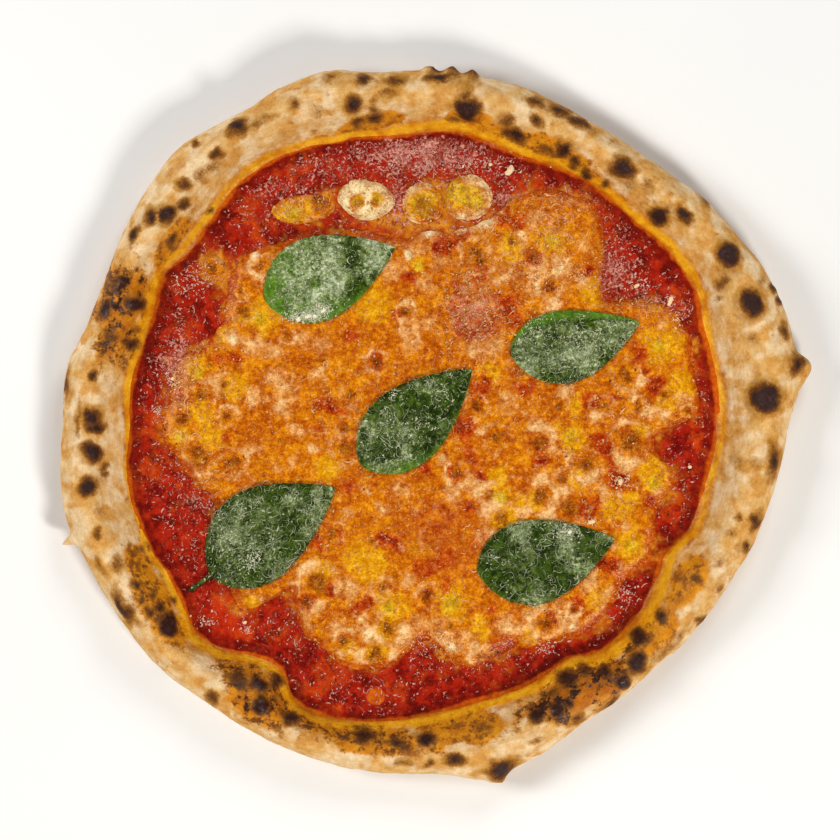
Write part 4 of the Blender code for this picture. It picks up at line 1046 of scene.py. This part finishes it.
melted = mozzarella()
disc_x, disc_y = even_disc(CHEESE_CELLS)
disc_turn = np.degrees(np.arctan2(disc_y, disc_x)) % 360
lobes = edge_lumps(disc_turn, SHEET_REACH, LOBE_SIZE, 91)
edge_radius = cheese_radius(disc_turn) + SHEET_SPILL + LOBE_DEPTH * lobes
edge_gap = (1 - np.hypot(disc_x, disc_y)) * edge_radius
sheet = cheese_piece(
    "melted_sheet", "mozzarella_sheet", disc_x * edge_radius, disc_y * edge_radius, CHEESE_CELLS, edge_gap,
    melting=5.0, stained=1.0, thick=2.1, finish=melted)

patch_x, patch_y = even_disc(PATCH_CELLS)
patch_turn = np.degrees(np.arctan2(patch_y, patch_x)) % 360
patches = []
for seed, (node_name, (x, y, long_half, wide_half, swing)) in enumerate(CHEESE_PATCHES.items(), 40):
    wobble = 1 + 0.16 * edge_lumps(patch_turn, long_half, long_half * 0.9, seed)
    wobble += 0.05 * edge_lumps(patch_turn, long_half, 2.2, seed + 10)
    along, across = patch_x * wobble * long_half, patch_y * wobble * wide_half
    swing = math.radians(swing)
    place_x = x + along * math.cos(swing) - across * math.sin(swing)
    place_y = y + along * math.sin(swing) + across * math.cos(swing)
    gap = (1 - np.hypot(patch_x, patch_y)) * min(long_half, wide_half)
    patches.append(cheese_piece(
        node_name.replace("mozzarella", "melted"), node_name, place_x, place_y, PATCH_CELLS, gap,
        melting=0.3 * min(long_half, wide_half), stained=0.45, thick=1.4, finish=melted))


# Basil leaves
# Five whole fresh leaves laid on before or just after baking, wilted flat on the cheese.
# A sunk midrib with curved side veins quilts the blade, and the grated cheese dusts it grey-green.
# Each leaf as (x and y of its foot, x and y of its tip, half width, bow to its left, length of stalk), in mm
BASIL_LEAVES = {
    "basil_leaf_1": (-69.7, 51.9, -15.8, 73.9, 17.6, 0.2, 0.0),
    "basil_leaf_2": (32.4, 29.5, 85.9, 42.7, 15.2, -2.6, 0.0),
    "basil_leaf_3": (-29.5, -17.0, 16.2, 23.2, 16.3, 0.2, 0.0),
    "basil_leaf_4": (-92.4, -62.6, -40.7, -26.1, 19.2, 2.6, 11.0),
    "basil_leaf_5": (18.7, -61.0, 75.5, -47.3, 17.6, -1.6, 0.0),
}
# How dusted each leaf is, how light its foot is, and how strongly one margin is painted lighter, as if lit:
# the left if above 0
LEAF_LOOKS = {
    "basil_leaf_1": (1.25, 1.0, -0.3), "basil_leaf_2": (1.0, 0.1, 1.0), "basil_leaf_3": (0.75, 0.5, -0.4),
    "basil_leaf_4": (0.75, 0.1, 0.2), "basil_leaf_5": (0.85, 0.25, -0.2),
}
LEAF_THICKNESS = 0.5      # mm
LEAF_REST = 0.3           # mm, how far it stands off what it lies on
LEAF_CUP = 1.1            # mm, how far its two halves arch
LEAF_RUMPLE = 0.45        # mm, how unevenly it wilted
RUMPLE_SIZE = 17          # mm, from one rumple to the next
RIB_SINK = 0.45           # mm, depth of the midrib
RIB_HALF = 0.9            # mm, its half width
VEIN_HALF = 0.55          # mm, half width of a side vein
DUST_SIZE = 9             # mm, size of the patches of cheese dust
QUILT_RISE = 0.28         # mm, how far the blade puffs up between its side veins
VEIN_SLANT = 0.19         # share of the length that a side vein runs forward on its way out
SIDE_VEINS = 6            # on each side
STALK_HALF = 0.9          # mm, half width of the stalk
BLADE_LEAN = 0.72         # below 1, so that the blade is widest nearer to its foot
BLADE_FULLNESS = 0.85     # below 1, so that it is fuller than a plain lens
LEAF_ALONG = 110          # cells along a leaf
LEAF_ACROSS = 50          # cells across it


def basil_blade():
    """Basil leaf: soft satin green, lighter at the veins and margins, with painted light on one margin,
    dusted with threads of cheese.
    """
    finish, tree, shader = new_finish("basil_blade", ior=1.4, specular_ior_level=0.1)
    place = add(tree, "TexCoord", out="Object")
    vein, light, dust = (
        add(tree, "Attribute", out="Fac", attribute_name=name) for name in ("vein", "light", "dust"))
    cloud, soft, speck, fine, grit = (
        add(tree, "TexNoise", {"Vector": place, "Scale": MM_IN_M / size, "Detail": 2.0, "Roughness": 0.65})
        for size in (9.0, 4.5, 2.8, 1.7, 1.1))
    grain = add(tree, "TexNoise", {
        "Vector": place, "Scale": MM_IN_M / 4.0, "Detail": 5.0, "Roughness": 0.95})
    tone, _ = wash(tree, "1f2f05", "34490a", 0.42, 0.58, (cloud, 0.5), (speck, 0.5))
    # Paler green at the foot and margins, with painted light on one margin
    tone, _ = wash(tree, tone, "56801a", 0.7, 1.4, (light, 1), (soft, 0.4), (fine, 0.3), most=0.85)
    tone, _ = wash(tree, tone, "58702c", 0.5, 1.1, (vein, 0.8), (fine, 0.3), most=0.4)
    tone, film = wash(tree, tone, "5a6b2c", 1.15, 1.6, (dust, 0.8), (soft, 0.8), (speck, 1.0), most=0.75)
    tone, _ = wash(tree, tone, "909d68", 1.45, 1.85, (dust, 0.8), (fine, 1.3), (speck, 0.7), most=0.75)
    curl = add(tree, "TexNoise", {"Vector": place, "Scale": MM_IN_M / 2.2, "Detail": 1.0, "Distortion": 1.2})
    thread = add(tree, "Math", {0: curl, 1: 0.5, 2: 0.02}, operation="COMPARE")
    tone, _ = wash(tree, tone, "a8b48c", 0.85, 1.2, (thread, 0.45), (dust, 0.45), (soft, 0.5), most=0.7)
    tone, _ = wash(tree, tone, "bfc8a6", 1.62, 1.85, (dust, 0.5), (fine, 0.8), (grit, 1.6), most=0.8)
    # Fine painted light and shade over the leaf: paler specks stand for tiny highlights, deeper ones for
    # shade in pits
    tone = painted_grain_light_and_shade(tree, tone, grain, 0.24)
    tree.links.new(tone, shader.inputs["Base Color"])
    gloss = add(tree, "MapRange", {"Value": film, "To Min": 0.42, "To Max": 0.8})
    tree.links.new(gloss, shader.inputs["Roughness"])
    height = weigh(tree, (soft, 0.4), (fine, 0.7), (grit, 0.4), (film, 0.3))
    bump = add(tree, "Bump", {"Height": height, "Strength": 0.4, "Distance": 0.7 * MM})
    tree.links.new(bump, shader.inputs["Normal"])
    return finish


def tree_of(piece):
    """The faces of a piece, ready to be measured from above."""
    mesh = piece.data
    return BVHTree.FromPolygons(
        [corner.co[:] for corner in mesh.vertices], [tuple(face.vertices) for face in mesh.polygons])


def height_on(trees, x, y):
    """Highest surface in mm above a place in mm."""
    level = -1.0
    for tree in trees:
        hit = tree.ray_cast(Vector((x * MM, y * MM, 0.1)), Vector((0, 0, -1)))[0]
        if hit:
            level = max(level, hit.z / MM)
    return level


def spread_max(values, reach):
    """The largest value within reach cells of each cell, then smoothed over as many."""
    for blend in (np.max, np.mean):
        for axis in (0, 1):
            edge = [(reach, reach) if k == axis else (0, 0) for k in (0, 1)]
            padded = np.pad(values, edge, mode="edge")
            shifts = [np.roll(padded, -k, axis) for k in range(2 * reach + 1)]
            values = np.take(blend(shifts, axis=0), range(values.shape[axis]), axis)
    return values


def leaf_piece(node_name, place, seed, trees, finish):
    """One leaf draped on what lies under it: arched, rumpled and quilted between its sunk veins."""
    foot_x, foot_y, tip_x, tip_y, widest, bow, stalk = place
    dusted, foot_light, painted_lit_side = LEAF_LOOKS[node_name]

    # The outline, from the stalk to the tip and from margin to margin
    length = math.hypot(tip_x - foot_x, tip_y - foot_y)
    ahead = ((tip_x - foot_x) / length, (tip_y - foot_y) / length)
    along = np.linspace(-stalk, length, LEAF_ALONG + 1)[:, None] + np.zeros(LEAF_ACROSS + 1)[None, :]
    side = np.linspace(-1, 1, LEAF_ACROSS + 1)[None, :] + 0 * along
    t = np.clip(along / length, 0, 1)
    blade = widest * np.sin(np.pi * t**BLADE_LEAN) ** BLADE_FULLNESS
    blade *= 1 + 0.012 * np.sin(along * 1.9 + seed) * (np.abs(side) > 0.9)
    half = np.maximum(blade, np.where(along < length / 2, STALK_HALF, 0.25))
    across = bow * np.sin(np.pi * t) + half * side
    x = foot_x + along * ahead[0] - across * ahead[1]
    y = foot_y + along * ahead[1] + across * ahead[0]

    # The blade lies on what is below it, arches beside its midrib and puffs up between its veins
    below = np.array([height_on(trees, a, b) for a, b in zip(x.ravel(), y.ravel())]).reshape(x.shape)
    level = spread_max(below, 4)
    wide = np.minimum(half / widest, 1)
    cup = LEAF_CUP * np.sin(np.pi * np.abs(side)) * wide
    rumple = plane_wave(seed, RUMPLE_SIZE)(x, y)
    rib = np.exp(-((side * half) / RIB_HALF) ** 2)
    lag = np.abs(side) ** 0.9 * VEIN_SLANT
    phase = (t - lag) * (SIDE_VEINS + 1)
    vein = np.exp(-(((phase - np.round(phase)) * length / (SIDE_VEINS + 1)) / VEIN_HALF) ** 2)
    vein *= np.abs(side) < 0.93
    vein *= (t > 0.06) * (t < 0.93)
    quilt = QUILT_RISE * np.cos(np.pi * 2 * (phase - 0.5)) * wide
    quilt = quilt * np.sin(np.pi * np.clip(np.abs(side), 0, 1)) ** 0.7
    level = level + LEAF_REST + cup + LEAF_RUMPLE * (1 + rumple) / 2 + quilt - RIB_SINK * rib * wide
    upper = np.stack([x, y, level + LEAF_THICKNESS / 2], axis=2).reshape(-1, 3)
    lower = np.stack([x, y, level - LEAF_THICKNESS / 2], axis=2).reshape(-1, 3)

    # Faces of the upper side, of the lower side and of the margin between them
    columns = LEAF_ACROSS + 1
    size = len(upper)
    i, j = np.meshgrid(np.arange(LEAF_ALONG), np.arange(LEAF_ACROSS), indexing="ij")
    a = (i * columns + j).ravel()
    quads = np.stack([a, a + columns, a + columns + 1, a + 1], axis=1)
    border = np.concatenate([
        np.arange(LEAF_ALONG) * columns, LEAF_ALONG * columns + np.arange(LEAF_ACROSS),
        (LEAF_ALONG - np.arange(LEAF_ALONG)) * columns + LEAF_ACROSS, LEAF_ACROSS - np.arange(LEAF_ACROSS),
    ])
    after = np.roll(border, -1)
    faces = quads.tolist() + (quads[:, ::-1] + size).tolist()
    faces += np.stack([border, border + size, after + size, after], axis=1).tolist()

    # What the finish reads: light foot and margins, painted light on one margin, and dust that is thinner on
    # them
    # One margin is painted lighter, as the side of the leaf turned to the light
    margin = smoothstep(0.5, 0.9, side * math.copysign(1, painted_lit_side)) * abs(painted_lit_side)
    light = foot_light * smoothstep(0.3 + 0.7 * foot_light, 0.0, t) + margin
    light = light + 0.25 * smoothstep(0.85, 1.0, np.abs(side))
    bare = (1 - 0.8 * margin) * (1 - 0.5 * foot_light * smoothstep(0.2, 0.0, t))
    dust = (0.58 * dusted + 0.78 * crags(upper, DUST_SIZE, seed)).reshape(t.shape) * bare
    values = {"vein": np.maximum(rib, 0.6 * vein), "light": light, "dust": np.clip(dust, 0, 1)}
    values = {key: np.tile(number.ravel(), 2) for key, number in values.items()}
    piece = add_piece(
        node_name.replace("basil_leaf", "basil_blade"), np.vstack([upper, lower]), faces, finish,
        values)
    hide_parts(node_name)
    return piece


leaf_finish = basil_blade()
beds = [tree_of(piece) for piece in (crust, sauce, sheet, *patches)]
leaves = [
    leaf_piece(node_name, place, seed, beds, leaf_finish)
    for seed, (node_name, place) in enumerate(BASIL_LEAVES.items(), 60)
]


# Grated cheese, crumbs and herb specks
# Hard cheese grated over it all in thin curled shreds and dust, thickest at the top and in a few drifts.
# A few crumbs clot into clumps, and dry herb in the sauce shows as dark specks.
SHREDS = 4200             # loose bits of each kind
CURLS = 700
CRUMBS = 7000
HERBS = 60
# Threads on each leaf
LEAF_THREADS = {
    "basil_leaf_1": 300, "basil_leaf_2": 480, "basil_leaf_3": 380, "basil_leaf_4": 900, "basil_leaf_5": 640,
}
THREAD_SPREAD = 0.4       # mm, how far a thread may lie from the cell that it is drawn for
# Each kind of bit, as (shortest and longest, narrowest and widest in mm, rings of points, how bent)
BIT_FORMS = {
    "grated_shreds": ((0.5, 2.2), (0.22, 0.55), 4, 0.6),
    "grated_curls": ((1.2, 4.2), (0.3, 0.7), 8, 0.45),
    "grated_crumbs": ((0.35, 1.5), (0.3, 1.1), 3, 0.3),
    "leaf_threads": ((1.2, 6.0), (0.16, 0.34), 8, 1.1),
    "herb_flakes": ((0.6, 1.6), (0.4, 0.9), 3, 0.5),
}
FALL_RADIUS = 124         # mm, within which the bits fall
FALL_BATCH = 4000         # places tried at a time
DRIFT_SIZE = 13           # mm, size of the patches where more fell
CLEAR_EDGE = 1.5          # mm, kept clear inside the edge of the sauce
BIT_SIDES = 3             # sides of each bent strip
BED_REACH = 0.7           # share of its half length at which its bed is measured
CHUNK_ROWS = 12           # points from top to bottom of a chunk
CHUNK_COLUMNS = 18        # points round it
CHUNK_FLAT = 0.7          # its height as a share of its width
CHUNK_SUNK = 0.2          # how high its middle lies, as a share of half its width
# Larger broken bits of the cheese, as (x, y, half length, half width, turn in degrees), in mm
CHUNKS = [
    (32.0, 105.8, 2.5, 1.5, 60), (-108.3, 19.1, 1.3, 0.8, 20), (98.8, 51.5, 2.0, 1.0, 70),
    (66.0, -40.3, 1.4, 0.9, 10), (78.0, -23.7, 1.2, 0.9, 45), (-78.4, -82.2, 1.1, 0.7, 30),
    (107.0, -17.5, 0.9, 0.7, 0), (24.0, 108.5, 1.1, 0.8, 15), (-52.0, 45.0, 1.4, 0.9, 20),
    (-56.0, 44.0, 1.2, 0.8, 70), (-49.0, 45.4, 1.1, 0.8, 0), (-45.5, 47.6, 1.2, 0.7, 35),
    (57.0, -44.5, 0.9, 0.7, 30), (85.0, 58.0, 1.1, 0.8, 40),
]
# Clumps, as (x, y, spread along x, spread along y in mm, number of bits)
CLUMPS = [
    (-108, 19, 1.6, 2.4, 30), (-115, 6, 1.2, 1.5, 14), (98.8, 51.5, 1.4, 1.8, 16), (66, -40, 1.6, 1.0, 14),
    (78, -23.5, 2.4, 1.6, 34), (-53, 45, 4.4, 1.1, 150), (-46, 47.6, 2.6, 1.0, 60),
    (56, -44.5, 3.0, 1.3, 60), (-8, -1, 5.0, 2.0, 26), (-73, -55, 2.0, 2.0, 20), (42, 40, 5.0, 3.0, 40),
    (64, 36, 5.0, 3.0, 30), (-78, -85, 1.6, 1.0, 16), (-16, 13, 2.0, 1.4, 14), (4, 12, 2.4, 2.0, 16),
    (-20, -3, 3.0, 4.0, 18), (32, 105, 2.4, 1.6, 10), (-100, 60, 4.0, 3.0, 50), (80, -70, 3.0, 2.4, 34),
    (47, -93, 2.4, 1.6, 24), (102, 44, 2.0, 2.6, 20), (85, 58, 2.4, 2.2, 26), (61, 62, 2.0, 1.2, 16),
    (-84, -50, 3.0, 5.0, 30), (-76, -58, 2.4, 2.4, 30), (20, 108, 9.0, 2.5, 50), (-95, -82, 3.0, 2.0, 24),
    (0, -92, 9.0, 2.5, 40), (-10, 112, 9.0, 2.5, 40),
]
HERB_GROUP = 3            # flakes at each of the places below
HERB_SPREAD = 0.8         # mm, how far they lie apart
# Where herb shows, as (x, y) in mm
HERB_PLACES = [
    (-54.8, 111.6), (-62.7, 97.1), (-103.3, 67.2), (20.8, 68.1), (76.4, 80.1), (85.9, 53.5), (95.9, 52.3),
    (-110, -48.1), (-73.5, -93.4), (-40.3, -105.8), (26.6, -95), (97.1, -37.4),
]


def grated_cheese():
    """Grated hard cheese: dry off-white, and so thin that it takes on the tone of what it lies on."""
    finish, tree, shader = new_finish(
        "grated_hard_cheese", ior=1.45, roughness=0.6, specular_ior_level=0.25)
    ground, pale = (add(tree, "Attribute", out="Fac", attribute_name=name) for name in ("ground", "pale"))
    fleck = add(tree, "TexNoise", {"Vector": add(tree, "TexCoord", out="Object"), "Scale": MM_IN_M / 0.8})
    thin, _ = wash(tree, "6d7b44", "cc7a2c", 0.2, 0.3, (ground, 1))
    thin, _ = wash(tree, thin, "a84030", 0.7, 0.8, (ground, 1))
    thick, _ = wash(tree, "cdd3b4", "eec488", 0.2, 0.3, (ground, 1))
    thick, _ = wash(tree, thick, "e4aea0", 0.7, 0.8, (ground, 1))
    tone, _ = wash(tree, thin, thick, 0.2, 1.2, (pale, 1), (fleck, 0.4))
    tone, _ = wash(tree, tone, "f0e4cc", 1.1, 1.9, (pale, 1), (fleck, 0.4))
    tree.links.new(tone, shader.inputs["Base Color"])
    bump = add(tree, "Bump", {"Height": fleck, "Strength": 0.3, "Distance": 0.3 * MM})
    tree.links.new(bump, shader.inputs["Normal"])
    return finish


def dry_herb():
    """Dried herb: dark, dull, green-black flakes."""
    finish, tree, shader = new_finish("dried_herb_flake", roughness=0.7)
    fleck = add(tree, "TexNoise", {"Vector": add(tree, "TexCoord", out="Object"), "Scale": MM_IN_M / 0.6})
    tone, _ = wash(tree, "1c160c", "3a3418", 0.3, 0.7, (fleck, 1))
    tree.links.new(tone, shader.inputs["Base Color"])
    return finish


draws = np.random.default_rng(77)
cheese_trees = beds[2:]
leaf_trees = [tree_of(leaf) for leaf in leaves]


def scatter_places(count, drifts):
    """Places in mm inside the sauce edge: count loose ones, and those of the clumps after them.

    The loose ones lie thicker beside the sheet, and where the cheese fell thick by as much as drifts says.
    """
    found = []
    while len(found) < count:
        angle = draws.uniform(0, 360, FALL_BATCH)
        radius = FALL_RADIUS * np.sqrt(draws.random(FALL_BATCH))
        x, y = radius * np.cos(np.radians(angle)), radius * np.sin(np.radians(angle))
        drift = smoothstep(-0.45, 0.5, crags(np.column_stack([x, y, 0 * x]), DRIFT_SIZE, 95))
        thin = (0.02 + 0.13 * drift) * (1 + 1.2 * (radius > cheese_radius(angle)))
        keep = draws.random(FALL_BATCH) < thin + drifts * fallen(x, y)
        keep &= radius < sauce_radius(angle) - CLEAR_EDGE
        found += list(zip(x[keep], y[keep]))
    places = np.array(found[:count])
    clumped = [
        (x + draws.normal(0, wide), y + draws.normal(0, deep))
        for x, y, wide, deep, amount in CLUMPS for _ in range(amount)
    ]
    return np.vstack([places, clumped])


def paleness(total, count, power):
    """How opaque and pale each bit is: mostly little, but high in the clumps, which come after the count."""
    loose = draws.random(total) ** power
    return np.where(np.arange(total) < count, loose, 0.6 + 0.9 * draws.random(total))


def lay_bits(name, places, pale, finish):
    """Thin bent strips of three sides, most of them short, each lying on the highest surface under it."""
    length, width, rings, bent = BIT_FORMS[name]
    count = len(places)
    heading = draws.uniform(0, math.tau, count)
    long_half = (length[0] + (length[1] - length[0]) * draws.random(count) ** 2) / 2
    half = (width[0] + (width[1] - width[0]) * draws.random(count) ** 2) / 2
    curl = draws.normal(0, bent, count)
    steps = np.linspace(-1, 1, rings)
    level = np.array([[
        height_on(beds + leaf_trees, x + s * h * math.cos(a), y + s * h * math.sin(a))
        for s in (-BED_REACH, 0, BED_REACH)] for (x, y), h, a in zip(places, long_half, heading)])
    on_leaf = np.array([height_on(leaf_trees, x, y) > 0 for x, y in places])
    on_cheese = np.array([height_on(cheese_trees, x, y) > 0 for x, y in places])
    # Each bit lies at the height of its bed and leans with it, and its ends curl up a little
    lift = np.maximum(level[:, 1], 0.5 * (level[:, 0] + level[:, 2]))
    tilt = (level[:, 2] - level[:, 0]) / (2 * BED_REACH)
    rows = []
    for s in steps:
        bend = curl * long_half * (1 - s * s)
        x = places[:, 0] + s * long_half * np.cos(heading) - bend * np.sin(heading)
        y = places[:, 1] + s * long_half * np.sin(heading) + bend * np.cos(heading)
        z = lift + np.clip(tilt, -0.8, 0.8) * s + half * 0.7 + 0.25 * np.abs(curl) * (1 - s * s) * half
        taper = half * (1 - 0.45 * s * s)
        for k in range(BIT_SIDES):
            spin = heading + math.pi / 2
            out = math.tau * k / BIT_SIDES + math.pi / 2
            rows.append(np.column_stack([
                x + taper * math.cos(out) * np.cos(spin), y + taper * math.cos(out) * np.sin(spin),
                z + taper * 0.8 * math.sin(out)]))
    points = np.stack(rows, axis=1).reshape(-1, 3)
    corners = rings * BIT_SIDES
    base = np.arange(count) * corners
    faces = []
    for r in range(rings - 1):
        for k in range(BIT_SIDES):
            a, b = base + r * BIT_SIDES + k, base + r * BIT_SIDES + (k + 1) % BIT_SIDES
            faces += np.stack([a, b, b + BIT_SIDES, a + BIT_SIDES], axis=1).tolist()
    last = corners - BIT_SIDES
    faces += np.stack([base, base + 2, base + 1], axis=1).tolist()
    faces += np.stack([base + last, base + last + 1, base + last + 2], axis=1).tolist()
    ground = np.where(on_leaf, 0.0, np.where(on_cheese, 0.5, 1.0))
    values = {"ground": np.repeat(ground, corners), "pale": np.repeat(pale, corners)}
    return add_piece(name, points, faces, finish, values, smooth=False)


def chunk_piece(name, finish):
    """Rounded lumps that broke off the block, each half sunk in what it lies on."""
    points, faces = [], []
    line = np.linspace(0, math.pi, CHUNK_ROWS)[1:-1]
    round_turn = np.arange(CHUNK_COLUMNS) * math.tau / CHUNK_COLUMNS
    for x, y, long_half, half, swing in CHUNKS:
        first = sum(len(part) for part in points)
        across, around = np.meshgrid(line, round_turn, indexing="ij")
        ball = np.stack([
            np.sin(across) * np.cos(around) * long_half, np.sin(across) * np.sin(around) * half,
            np.cos(across) * half * CHUNK_FLAT], axis=2).reshape(-1, 3)
        ball = np.vstack([ball, [(0, 0, half * CHUNK_FLAT), (0, 0, -half * CHUNK_FLAT)]])
        ball *= (1 + 0.6 * crags(ball + (x, y, 0), 1.1, 97))[:, None]
        cosine, sine = math.cos(math.radians(swing)), math.sin(math.radians(swing))
        ball[:, :2] = ball[:, :2] @ np.array([[cosine, sine], [-sine, cosine]])
        points.append(ball + (x, y, height_on(beds + leaf_trees, x, y) + half * CHUNK_SUNK))
        faces += closed_faces(CHUNK_ROWS - 2, CHUNK_COLUMNS, first)
    points = np.vstack(points)
    on_leaf = np.array([height_on(leaf_trees, x, y) > 0 for x, y, *_ in CHUNKS])
    each = len(points) // len(CHUNKS)
    values = {
        "ground": np.repeat(np.where(on_leaf, 0.0, 0.5), each),
        "pale": np.repeat(np.where(on_leaf, 1.7, 1.2), each)}
    return add_piece(name, points, faces, finish, values)


def places_on_leaves():
    """Places in mm on the leaves for the threads, thicker where the dust is."""
    found = []
    for leaf, amount in zip(leaves, LEAF_THREADS.values()):
        count = (LEAF_ALONG + 1) * (LEAF_ACROSS + 1)
        spots = np.empty(len(leaf.data.vertices) * 3)
        leaf.data.vertices.foreach_get("co", spots)
        spots = spots.reshape(-1, 3)[:count, :2] / MM
        dust = np.empty(len(leaf.data.vertices), np.float32)
        leaf.data.attributes["dust"].data.foreach_get("value", dust)
        steps = spots.reshape(LEAF_ALONG + 1, LEAF_ACROSS + 1, 2)
        width = np.linalg.norm(steps[:, -1] - steps[:, 0], axis=1)
        room = np.repeat(np.where(width > 4, width, 0), LEAF_ACROSS + 1)
        odds = (0.1 + dust[:count].astype(float) ** 2) * room
        chosen = draws.choice(count, amount, p=odds / odds.sum())
        found.append(spots[chosen] + draws.normal(0, THREAD_SPREAD, (amount, 2)))
    return np.vstack(found)


grated = grated_cheese()
shred_places = scatter_places(SHREDS, drifts=1.0)
shred_pale = paleness(len(shred_places), SHREDS, power=2.2)
lay_bits("grated_shreds", shred_places, shred_pale, grated)
curl_places = scatter_places(CURLS, drifts=1.0)[:CURLS]
lay_bits("grated_curls", curl_places, draws.random(CURLS), grated)
crumb_places = scatter_places(CRUMBS, drifts=1.0)
crumb_pale = paleness(len(crumb_places), CRUMBS, power=1.6)
lay_bits("grated_crumbs", crumb_places, crumb_pale, grated)
thread_places = places_on_leaves()
lay_bits("leaf_threads", thread_places, draws.random(len(thread_places)) ** 1.5, grated)
chunk_piece("cheese_chunks", grated)
grouped = np.repeat(np.array(HERB_PLACES), HERB_GROUP, axis=0)
herb_spots = np.vstack([
    grouped + draws.normal(0, HERB_SPREAD, grouped.shape),
    scatter_places(HERBS, drifts=0.0)[:HERBS],
])
lay_bits("herb_flakes", herb_spots, np.zeros(len(herb_spots)), dry_herb())
